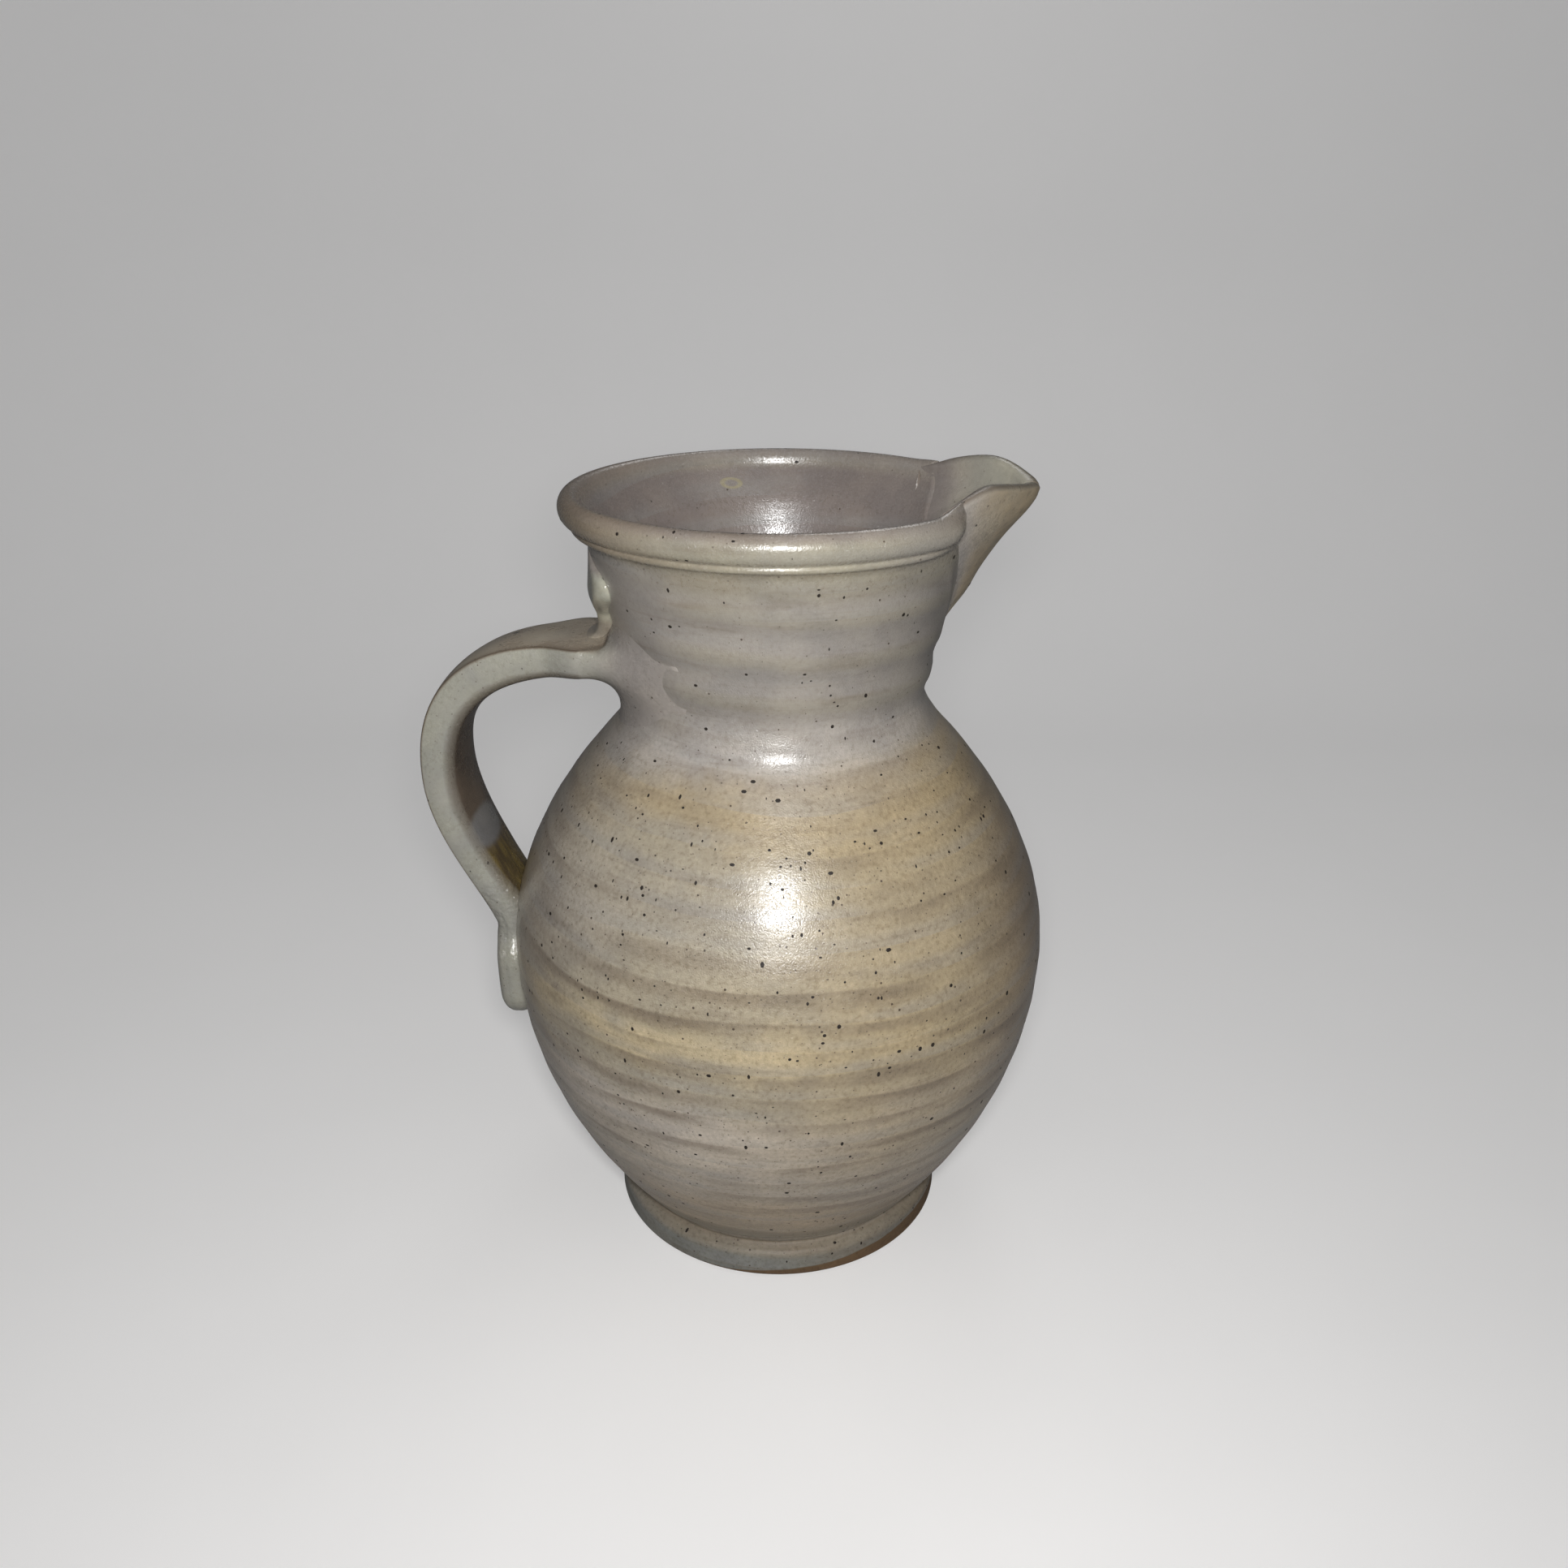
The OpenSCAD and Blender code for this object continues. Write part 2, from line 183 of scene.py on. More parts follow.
def mixTone(share, first, second, blend="MIX"):
    sockets = {0: share, 6: colour(first), 7: colour(second)}
    return put("ShaderNodeMix", sockets, data_type="RGBA", blend_type=blend).outputs[2]


def layered(tone, *layers):  # each layer is how much of it there is, and its tone
    for share, over in layers:
        tone = mixTone(share, tone, over)
    return tone


def toneRamp(value, stops):
    node = put("ShaderNodeValToRGB", {"Fac": value})
    node.color_ramp.interpolation = "EASE"
    elements = node.color_ramp.elements
    while len(elements) < len(stops):
        elements.new(0.5)
    for element, (place, tone) in zip(elements, stops):
        element.position = place
        element.color = colour(tone)
    return node.outputs[0]


def newGroup(name, inputs, outputs, kind="ShaderNodeTree"):
    tree = work["tree"] = bpy.data.node_groups.new(name, kind)
    for label, value in inputs.items():  # the kind of socket, or a value that shows it
        told = isinstance(value, str)
        sort = value if told else {int: "Int", float: "Float"}[type(value)]
        socket = tree.interface.new_socket(label, in_out="INPUT", socket_type="NodeSocket" + sort)
        if not told:
            socket.default_value = value
    for label in outputs:
        sort = "Geometry" if label == "Geometry" else "Float"
        tree.interface.new_socket(label, in_out="OUTPUT", socket_type="NodeSocket" + sort)
    return tree, put("NodeGroupInput").outputs, put("NodeGroupOutput").inputs


def useGroup(group, sockets):
    return put("ShaderNodeGroup", sockets, node_tree=group).outputs


# shared glaze effects

def makeSpeckGroup():
    tree, given, result = newGroup(
        "ironSpecks", {"Vector": "Vector", "Cell": 0.003, "Share": 0.5, "Radius": 0.2}, ["Speck"])
    cells = put("ShaderNodeTexVoronoi", {
        "Vector": given["Vector"], "Scale": calc("DIVIDE", 1.0, given["Cell"])}).outputs
    chance = put("ShaderNodeSeparateColor", {"Color": cells["Color"]}).outputs
    radius = times(given["Radius"], scaled(chance["Green"], 0.6, 0.4))
    spot = ease(cells["Distance"], radius, times(radius, 0.7))
    present = calc("LESS_THAN", chance["Red"], given["Share"])
    wire(times(spot, present), result["Speck"])
    return tree


def makeMottleGroup():
    tree, given, result = newGroup(
        "glazeMottle", {"Vector": "Vector", "Cloud Size": 0.03, "Grain Size": 0.0015}, ["Cloud", "Grain", "Fleck"])
    place = given["Vector"]
    cloud = noise(place, calc("DIVIDE", 1.0, given["Cloud Size"]), 4.0, 0.55)
    wire(ease(cloud, 0.3, 0.7), result["Cloud"])
    wire(noise(place, calc("DIVIDE", 1.0, given["Grain Size"]), 2.0, 0.6), result["Grain"])
    wire(noise(place, calc("DIVIDE", 3.2, given["Grain Size"]), 1.0), result["Fleck"])
    return tree


def spiralTurn(x, y):
    return calc("DIVIDE", calc("ARCTAN2", y, x), 2 * math.pi)


def makeBandGroup():
    tree, given, result = newGroup(
        "throwingBands", {"Vector": "Vector", "Pitch": 0.0088, "Line Pitch": 0.0014}, ["Band", "Pool", "Smear", "Line"])
    place = given["Vector"]
    x, y, z = split(place)
    phase = calc("ADD", calc("DIVIDE", z, given["Pitch"]), spiralTurn(x, y))
    drift = noise(stretch(place, (7, 7, 30)), 1.0)
    saw = calc("FRACT", scaled(drift, 1.7, phase))
    crest = times(ease(saw, 0.2, 0.82), ease(saw, 1.0, 0.88))
    patch = noise(stretch(place, (17, 17, 80)), 1.0, 3.0)
    lines = join(22.0, 22.0, calc("DIVIDE", 1.0, given["Line Pitch"]))
    wire(times(crest, ease(patch, 0.38, 0.68)), result["Band"])
    wire(times(ease(saw, 0.62, 0.2), ease(patch, 0.62, 0.4)), result["Pool"])
    wire(noise(stretch(place, (24, 24, 150)), 1.0, 4.0, 0.6), result["Smear"])
    wire(noise(stretch(place, lines), 1.0, 3.0, 0.65), result["Line"])
    return tree


specks = makeSpeckGroup()
mottle = makeMottleGroup()
bands = makeBandGroup()
print("glaze groups made")


# glaze materials

glaze = {
    "lavender": (0.48, 0.442, 0.402),
    "violet": (0.34, 0.312, 0.28),
    "khaki": (0.425, 0.37, 0.272),
    "tan": (0.46, 0.36, 0.212),
    "grey": (0.425, 0.377, 0.295),
    "shoulder": (0.435, 0.35, 0.222),
    "ochre": (0.575, 0.475, 0.30),
    "pale": (0.61, 0.54, 0.455),
    "beige": (0.56, 0.49, 0.40),
    "lower": (0.55, 0.435, 0.30),
    "waist": (0.27, 0.235, 0.18),
    "flange": (0.24, 0.24, 0.214),
    "collar": (0.337, 0.305, 0.235),
    "cream": (0.385, 0.355, 0.275),
    "crest": (0.335, 0.29, 0.255),
    # painted shade, in a browner tone, for the belly's right and left silhouettes
    "rightEdge": (0.20, 0.14, 0.11),
    "leftEdge": (0.30, 0.21, 0.15),
    "brownRim": (0.28, 0.205, 0.135),
    "inside": (0.27, 0.229, 0.208),
    "thin": (0.19, 0.145, 0.10),  # where the clay shows through on a ridge
    "celadon": (0.38, 0.374, 0.313),
    "root": (0.40, 0.363, 0.332),  # the lavender of the neck with its stains
    "olive": (0.085, 0.062, 0.032),
    "oliveRun": (0.17, 0.125, 0.045),
    "underDark": (0.085, 0.067, 0.052),
    "underPale": (0.12, 0.093, 0.070),
    "underPatch": (0.20, 0.20, 0.20),
    "bareClay": (0.155, 0.096, 0.05),
    "iron": (0.020, 0.013, 0.009),
    "softIron": (0.085, 0.058, 0.040),
    "crease": (0.075, 0.048, 0.028),
    "bluish": (0.335, 0.325, 0.31),
    "scar": (0.42, 0.37, 0.22),
    "strapTop": (0.44, 0.363, 0.275),
    "strapPale": (0.51, 0.455, 0.365),
    "beakPale": (0.53, 0.46, 0.345),
    "beakTan": (0.52, 0.42, 0.28),
    "channelPale": (0.49, 0.46, 0.365),
    "channelGrey": (0.42, 0.405, 0.335),
    "lugGreen": (0.45, 0.46, 0.38),
    "lugPale": (0.49, 0.47, 0.375),
}
grainLevels = ((0.28, (0.80, 0.78, 0.75)), (0.5, (1.0, 1.0, 1.0)), (0.74, (1.14, 1.14, 1.15)))
cloudLevels = ((0.0, (0.91, 0.91, 0.92)), (1.0, (1.07, 1.06, 1.04)))
bodyLevels = (  # shares of the jug's height
    (0.0, "flange"), (0.027, "flange"), (0.036, "waist"), (0.075, "waist"), (0.1, "lower"), (0.15, "lower"),
    (0.22, "beige"), (0.32, "pale"), (0.38, "khaki"), (0.42, "ochre"), (0.47, "khaki"), (0.56, "grey"), (0.63, "khaki"),
    (0.67, "shoulder"), (0.73, "lavender"), (0.79, "violet"), (0.9, "violet"), (0.945, "collar"), (0.96, "cream"),
    (0.985, "cream"), (0.998, "crest"))
bodyStainsAndShade = (  # tone, share, and where it comes in: axis, from, to; stains, and painted shade towards the belly's silhouettes
    ("tan", 0.66, (0, -0.03, 0.04), (2, 0.185, 0.172), (2, 0.035, 0.075)),  # warmer on the beak's side
    # painted shade: the belly darkens towards its right and left silhouettes, in a browner tone
    ("rightEdge", 0.55, (0, 0.05, 0.085)),
    ("leftEdge", 0.3, (0, -0.055, -0.085)),
    ("lavender", 0.4, (0, -0.03, -0.07), (2, 0.1, 0.135)),  # greyer on the handle's side
    ("violet", 0.7, (0, 0.015, 0.045), (2, 0.232, 0.24)),
    ("brownRim", 0.6, (0, -0.02, -0.055), (2, 0.236, 0.241)))


def startMaterial(name):
    material = bpy.data.materials.new(name)
    material.use_nodes = True
    work["tree"] = material.node_tree
    return material, material.node_tree.nodes["Principled BSDF"], put("ShaderNodeTexCoord").outputs["Object"]


def attribute(name):
    return put("ShaderNodeAttribute", attribute_name=name).outputs["Fac"]


def clouded(place, cloud=0.014, grain=0.003):
    return useGroup(mottle, {"Vector": place, "Cloud Size": cloud, "Grain Size": grain})


def nearPoint(place, point, outer, inner):  # 1 inside a ball round a point, 0 outside
    distance = put("ShaderNodeVectorMath", {0: place, 1: point}, operation="DISTANCE").outputs["Value"]
    return ease(distance, outer, inner)


def bump(height, strength, depth):
    return put("ShaderNodeBump", {"Strength": strength, "Distance": depth, "Height": height}).outputs[0]


def finishGlaze(shader, place, tone, rough, relief, speckShare, coat=0.5, grain=1.0, gloss=0.2, pitDepth=0.00018):
    clouds = clouded(place, 0.02, 0.0014)
    tone = mixTone(grain, tone, toneRamp(clouds["Grain"], grainLevels), "MULTIPLY")
    tone = mixTone(1.0, tone, toneRamp(clouds["Cloud"], cloudLevels), "MULTIPLY")
    dust = useGroup(specks, {"Vector": place, "Cell": 0.0015, "Radius": 0.2, "Share": times(0.9, speckShare)})
    fine = useGroup(specks, {"Vector": place, "Cell": 0.0034, "Radius": 0.13, "Share": speckShare})
    spot = attribute("spot")
    tone = layered(
        tone,
        (times(dust["Speck"], 0.6), "softIron"),
        (times(fine["Speck"], 0.95), "softIron"),
        (spot, "iron"))
    rough = calc("ADD", rough, scaled(clouds["Grain"], 0.2, -0.1))
    height = scaled(clouds["Grain"], 0.6, scaled(clouds["Fleck"], 0.55, relief))
    pits = scaled(clouds["Grain"], 0.4, ease(clouds["Fleck"], 0.5, 0.8))  # break the highlight up into sparkles
    for label, value in (
            ("Base Color", tone),
            ("Roughness", scaled(spot, 0.3, rough)),
            ("Normal", bump(height, 0.7, 0.0002)),
            ("Coat Normal", bump(pits, 0.8, pitDepth)),
            ("Coat Weight", times(coat, calc("SUBTRACT", 1.0, spot)))):
        wire(value, shader.inputs[label])
    shader.inputs["IOR"].default_value = 1.5
    shader.inputs["Coat IOR"].default_value = 1.6
    shader.inputs["Coat Roughness"].default_value = gloss


def innerTone(place, z, marks):  # inside the jug, with a scar on the far wall
    scarPlace, scarMiddle = stretch(place, (0.6, 1.0, 1.3)), (-0.0096, 0.053, 0.312)
    scar = times(nearPoint(scarPlace, scarMiddle, 0.0027, 0.0023), nearPoint(scarPlace, scarMiddle, 0.0012, 0.0018))
    return layered(
        "inside",
        (ease(z, 0.243, 0.249), "crest"),
        (times(marks["Pool"], 0.4), "bluish"),
        (times(scar, 0.7), "scar"))


def makeBodyGlaze():
    material, shader, place = startMaterial("bodyGlaze")
    axes = x, y, z = split(place)
    inside = attribute("inside")
    marks = useGroup(bands, {"Vector": place})
    ragged = scaled(clouded(place, 0.05, 0.006)["Cloud"], 0.012, -0.006)
    loose = times(ease(z, 0.014, 0.05), ease(z, 0.236, 0.222))  # the foot and the rim keep clean edges
    tone = toneRamp(calc("DIVIDE", calc("ADD", z, times(ragged, loose)), jugHeight), bodyLevels)
    # stains, and painted shade at the belly's silhouettes, over the tone of each height
    for stainAndShade, share, *reaches in bodyStainsAndShade:
        tone = mixTone(times(*[ease(axes[k], low, high) for k, low, high in reaches], share), tone, stainAndShade)
    neck = times(ease(z, 0.182, 0.194), ease(z, 0.239, 0.234))
    ridge = times(neck, ease(attribute("ring"), 0.45, 0.95), ease(x, -0.042, -0.02))
    strong = times(ease(z, 0.02, 0.075, 0.6, 1.0), ease(z, 0.15, 0.118, 0.5, 1.0))
    belly = times(strong, calc("SUBTRACT", 1.0, neck))
    sweep = calc("ADD", ease(x, -0.036, 0.0, 0.0, 0.0024), ease(x, 0.0, 0.055, 0.0, 0.0036))
    bareEdge = scaled(ragged, 0.1, sweep)  # the bare band widens towards the beak
    bare = ease(z, calc("ADD", bareEdge, 0.0006), bareEdge)
    tone = layered(
        tone,
        (times(ridge, 0.5), "collar"),
        (times(neck, ease(x, -0.02, -0.045), 0.7), "root"),  # painted light: the neck is lightened on the handle's side, in the tone of the strap's root
        (times(marks["Pool"], 0.3), "bluish"),
        (times(marks["Band"], belly, 0.72), "thin"),
        (times(ease(marks["Smear"], 0.52, 0.72), 0.34), "thin"),
        (times(ease(marks["Line"], 0.54, 0.74), ease(z, 0.05, 0.03, 0.22, 0.5)), "thin"),
        (inside, innerTone(place, z, marks)),
        (times(attribute("edge"), 0.7), "thin"),
        (bare, "bareClay"))
    dull = scaled(bare, 0.2, ease(z, 0.016, 0.011, 0.0, 0.2))
    rough = calc("ADD", dull, ease(z, 0.226, 0.24, 0.33, 0.27))
    calm = ease(z, 0.165, 0.2)  # fewer specks on the neck and inside
    share = scaled(inside, -0.12, scaled(calm, -0.5, 0.75))
    grain = times(scaled(calm, -0.5, 1.0), ease(z, 0.234, 0.24, 1.0, 0.5))
    finishGlaze(shader, place, tone, rough, times(marks["Line"], 0.35), share,
                coat=ease(z, 0.012, 0.02, 0.0, 0.85), grain=grain, gloss=0.21)
    return material


def makeBeakGlaze():
    material, shader, place = startMaterial("beakGlaze")
    clouds = clouded(place)
    joined = attribute("joined")
    channel = layered("channelPale", (clouds["Cloud"], "channelGrey"), (joined, mixTone(0.2, "inside", "bluish")))
    tone = layered(
        "beakPale",
        (clouds["Cloud"], "beakTan"),
        (times(ease(clouds["Grain"], 0.5, 0.75), 0.4), "thin"),
        (joined, "lavender"),
        (attribute("inside"), channel),
        (times(attribute("edge"), 0.8), "thin"))
    rough = ease(clouds["Cloud"], 0.0, 1.0, 0.26, 0.38)
    finishGlaze(shader, place, tone, rough, clouds["Cloud"], 0.3, coat=0.3, grain=0.4)
    return material


def strapFace(clouds):  # the strap's outer face, and the toe of the lug on it
    return mixTone(clouds["Cloud"], "strapTop", "strapPale")


def makeStrapGlaze():
    material, shader, place = startMaterial("strapGlaze")
    clouds = clouded(place)
    z = split(place)[2]
    streaks = noise(stretch(place, (120, 420, 60)), 1.0, 3.0)
    runny = mixTone(ease(streaks, 0.38, 0.62), "olive", "oliveRun")
    patch = nearPoint(stretch(place, (1, 0.5, 1)), (-0.0945, -0.002, 0.141), 0.0074, 0.0048)
    under = layered(
        "underDark",
        (clouds["Cloud"], "underPale"),
        (ease(z, 0.138, 0.132), runny),
        (times(patch, 0.8), "underPatch"))
    tone = layered(
        "celadon",
        (times(clouds["Cloud"], 0.5), "bluish"),
        (attribute("outerFace"), strapFace(clouds)),
        (attribute("innerFace"), under),
        (attribute("joined"), "root"),
        (times(attribute("edge"), 0.85), "crease"),
        (nearPoint(place, (-0.0821, 0.0058, 0.2022), 0.0014, 0.001), "iron"))
    rough = times(ease(clouds["Cloud"], 0.0, 1.0, 0.24, 0.36), ease(z, 0.11, 0.13, 0.6, 1.0))
    tail = times(ease(z, 0.13, 0.12), ease(z, 0.088, 0.096))
    runs = times(noise(place, 480.0, 1.0), 5.0, tail)  # glaze run into wet beads
    finishGlaze(shader, place, tone, rough, calc("ADD", clouds["Cloud"], runs), 0.3,
                coat=ease(z, 0.13, 0.11, 0.3, 0.9), grain=0.4, gloss=0.16)
    return material


def makeLugGlaze():
    material, shader, place = startMaterial("lugGlaze")
    clouds = clouded(place)
    joined, base = attribute("joined"), attribute("base")
    paintedShade = ease(attribute("rise"), 0.0, 0.0025, 0.9, 0.5)  # painted shade: darker where the toe stands up from the strap and faces the lamps
    toe = mixTone(1.0, strapFace(clouds), join(paintedShade, paintedShade, paintedShade), "MULTIPLY")
    tone = layered(
        "lugGreen",
        (clouds["Cloud"], "lugPale"),
        (base, toe),
        (joined, "root"),
        (times(attribute("edge"), 0.85), "crease"))
    rough = scaled(calc("ADD", joined, base), 0.2, 0.12)
    finishGlaze(shader, place, tone, rough, clouds["Cloud"], 0.2, coat=1.0, grain=0.4, gloss=0.19, pitDepth=0.00004)
    return material


bodyGlaze = makeBodyGlaze()
beakGlaze = makeBeakGlaze()
strapGlaze = makeStrapGlaze()
lugGlaze = makeLugGlaze()
print("glazes mixed")


# mesh and tree helpers

def makePiece(name, points, faces, material, marks):
    mesh = bpy.data.meshes.new(name)
    mesh.from_pydata(points.tolist(), [], faces)
    mesh.materials.append(material)
    for label, values in marks.items():
        mesh.attributes.new(label, "FLOAT", "POINT").data.foreach_set("value", np.asarray(values, np.float32))
    mesh.polygons.foreach_set("use_smooth", [True] * len(mesh.polygons))
    mesh.validate()
    piece = bpy.data.objects.new(name, mesh)
    show(piece)
    return piece


def gridFaces(rows, columns, closed):  # quads of a grid, closed round its columns when asked
    index = np.arange(rows * columns).reshape(rows, columns)
    around = np.concatenate([index, index[:, :1]], 1) if closed else index
    quads = np.stack([around[:-1, :-1], around[:-1, 1:], around[1:, 1:], around[1:, :-1]], 2)
    return index, quads.reshape(-1, 4).tolist()


def makeTube(name, rows, material, marks):  # closed round each row, with a cap at both ends
    index, faces = gridFaces(rows.shape[0], rows.shape[1], True)
    faces = [face[::-1] for face in faces]
    faces += [index[0].tolist(), index[-1][::-1].tolist()]
    return makePiece(name, rows.reshape(-1, 3), faces, material, marks)


def runTree(piece, tree, values):  # evaluates the tree and keeps a plain mesh
    modifier = piece.modifiers.new(tree.name, "NODES")
    modifier.node_group = tree
    for item in tree.interface.items_tree:
        if item.in_out == "INPUT" and item.name in values:
            modifier[item.identifier] = values[item.name]
    bpy.context.view_layer.update()
    shaped = piece.evaluated_get(bpy.context.evaluated_depsgraph_get())
    mesh = bpy.data.meshes.new_from_object(shaped)
    piece.modifiers.remove(modifier)
    piece.data = mesh
    mesh.name = piece.name


def newShaper(name, inputs):  # a tree that takes a piece's mesh and its material
    return newGroup(name, {"Geometry": "Geometry", "Material": "Material", **inputs}, ["Geometry"], "GeometryNodeTree")


def realize(node):
    return put("GeometryNodeRealizeInstances", {"Geometry": node.outputs[0]})


def dress(node, given, result):
    dressed = put("GeometryNodeSetMaterial", {"Geometry": node.outputs[0], "Material": given["Material"]})
    wire(dressed.outputs[0], result["Geometry"])


def named(label):
    return put("GeometryNodeInputNamedAttribute", {"Name": label}, data_type="FLOAT").outputs[0]


def store(geometry, label, value, domain):
    return put("GeometryNodeStoreNamedAttribute", {"Geometry": geometry, "Name": label, "Value": value},
               data_type="FLOAT", domain=domain)


def smooth(low, high, value):
    share = np.clip((np.asarray(value, float) - low) / (high - low), 0, 1)
    return share * share * (3 - 2 * share)


def between(start, end, share):
    return start + (end - start) * share


def hump(value, middle, width):
    return np.exp(-((value - middle) / width) ** 2)


def arc(centre, across, along, start, end, steps):
    angle = np.radians(np.linspace(start, end, steps))
    return np.stack([centre[0] + across * np.cos(angle), centre[1] + along * np.sin(angle)], 1)


def bezier(t, a, b, c, d):
    return (1 - t) ** 3 * a + 3 * t * (1 - t) ** 2 * b + 3 * t * t * (1 - t) * c + t ** 3 * d


def through(keys, value):  # soft line through a few (place, amount) keys
    keys = np.array(keys)
    grid = np.linspace(keys[0, 0], keys[-1, 0], 400)
    line = np.interp(grid, keys[:, 0], keys[:, 1])
    for step in range(160):
        line[1:-1] = (line[:-2] + 2 * line[1:-1] + line[2:]) / 4
    return np.interp(value, grid, line)


# thrown body

jug = {
    "bellyRadius": 0.0873,
    "bellyHeight": 0.101,
    "shoulderHeight": 0.182,
    "neckRadius": 0.0456,
    "neckHeight": 0.188,
    "shoulderBlend": 0.004,
    "neckCurve": 1.1,
    "collarRadius": 0.057,
    "collarDrop": 0.0155,
    "wall": 0.0056,
    "floor": 0.008,
    "floorFillet": 0.016,
    "footRadius": 0.0564,
    "footHeight": 0.010,
    "footEdge": 0.0012,
    "flangeRound": 0.003,
    "waistRadius": 0.053,
    "waistHeight": 0.0116,
    "cutLineHeight": 0.0144,
    "cutLineDepth": 0.0006,
    "cutLine": ((-0.0012, 0), (-0.0007, 0), (-0.0003, 0.7), (0, 1), (0.0003, 0.7), (0.0007, 0)),
    "bellyRings": 0.15,  # how deep the rings are on the belly, as a share of the neck's
    "rimRadius": 0.0653,
    "beadHeight": 0.0086,
    "beadDepth": 0.0036,
    "lipWidth": 0.003,
    "ridgeRadius": 0.0011,
    "ridgeGap": 0.0002,
    "ridgeSink": 0.0009,
    "columns": 216,
    "outerRows": 118,
    "innerRows": 66,
}
collarHeight = jugHeight - jug["collarDrop"]
lipRadius = jug["rimRadius"] - jug["beadDepth"]
beadMiddle = jugHeight - jug["beadHeight"] / 2


def bodyRadius(z):  # smooth outer radius, the neck's flare carried on to the lip
    z = np.asarray(z, float)
    belly, middle, neckHeight = jug["bellyRadius"], jug["bellyHeight"], jug["neckHeight"]
    lower = belly - (belly - jug["waistRadius"]) * ((middle - z) / (middle - jug["waistHeight"])) ** 2
    rise = (z - middle) / (jug["shoulderHeight"] - middle)
    shoulder = belly - (belly - jug["neckRadius"]) * rise ** 2
    flare = np.maximum(0, (z - neckHeight) / (collarHeight - neckHeight)) ** jug["neckCurve"]
    neck = between(jug["neckRadius"], jug["collarRadius"], flare)
    upper = (shoulder + neck + np.sqrt((shoulder - neck) ** 2 + jug["shoulderBlend"] ** 2)) / 2
    return np.where(z < middle, lower, upper)


def bodySlope(z):
    return (bodyRadius(z + 0.0005) - bodyRadius(z - 0.0005)) / 0.001


def innerRadius(z):
    z = np.asarray(z, float)
    throat = np.minimum(z, collarHeight)
    wall = bodyRadius(throat) - jug["wall"] * np.sqrt(1 + bodySlope(throat) ** 2)
    share = np.clip((z - collarHeight) / (beadMiddle - collarHeight), 0, 1)
    return between(wall, lipRadius - jug["lipWidth"], share)


beak = {
    "drop": 0.0436,  # from the rim down to the point of the V that is cut for the beak
    "topHalf": 0.0345,
    "nearRise": 0.0029,  # how far the rim lifts beside the beak, on the camera's side
    "farRise": 0.0011,
    "riseLength": 0.014,
    "beadFade": 0.014,
    "ridgeFade": 0.034,
    "fold": 0.0004,  # soft folds where the clay was pressed round the beak
    "foldCrest": (0.0085, 0.0024),
    "foldValley": (0.0042, 0.0018),
    "ringFade": 0.018,  # the throwing rings are smoothed away beside the beak
    "nearLip": ((0, 2.9), (0.13, 3.7), (0.23, 4.7), (0.32, 5.1), (0.48, 3.9), (0.66, 2.3), (0.8, 1.5), (1, 0.8)),
    "farLip": ((0, 1.1), (0.08, 1.4), (0.19, 2.6), (0.28, 3.7), (0.38, 4.9), (0.47, 5.6), (0.55, 5.3),
               (0.64, 4.2), (0.75, 2.8), (0.88, 1.6), (1, 0.8)),
    "point": 1.15,
    "keelRound": 0.09,
    "stand": 0.0160,
    "standCurve": 1.1,
    "bulge": 0.0018,
    "bulgeHigh": (0.88, 0.16),  # middle and width, as shares of the drop
    "bulgeLow": (0.27, 0.12),
    "wall": 0.0056,
    "channelShare": 0.8,
    "lipRound": 0.0017,
    "lipEdge": (0.3, 0.7, 0.9, 0.7, 0.4, 0.15),
    "overlap": 0.0077,
    "embed": 0.00015,
    "sink": 0.0012,  # how deep the ends of its overlap run into the neck
    "rows": 44,
    "sides": 32,
    "overlapSteps": 8,
    "seamRounds": 90,
    "seamWidth": 4.5,
    "spotDensity": 9000.0,
}
beakFoot = jugHeight - beak["drop"]


def seamHalf(z):
    return np.maximum(0, beak["topHalf"] * np.minimum(1, (z - beakFoot) / beak["drop"]))


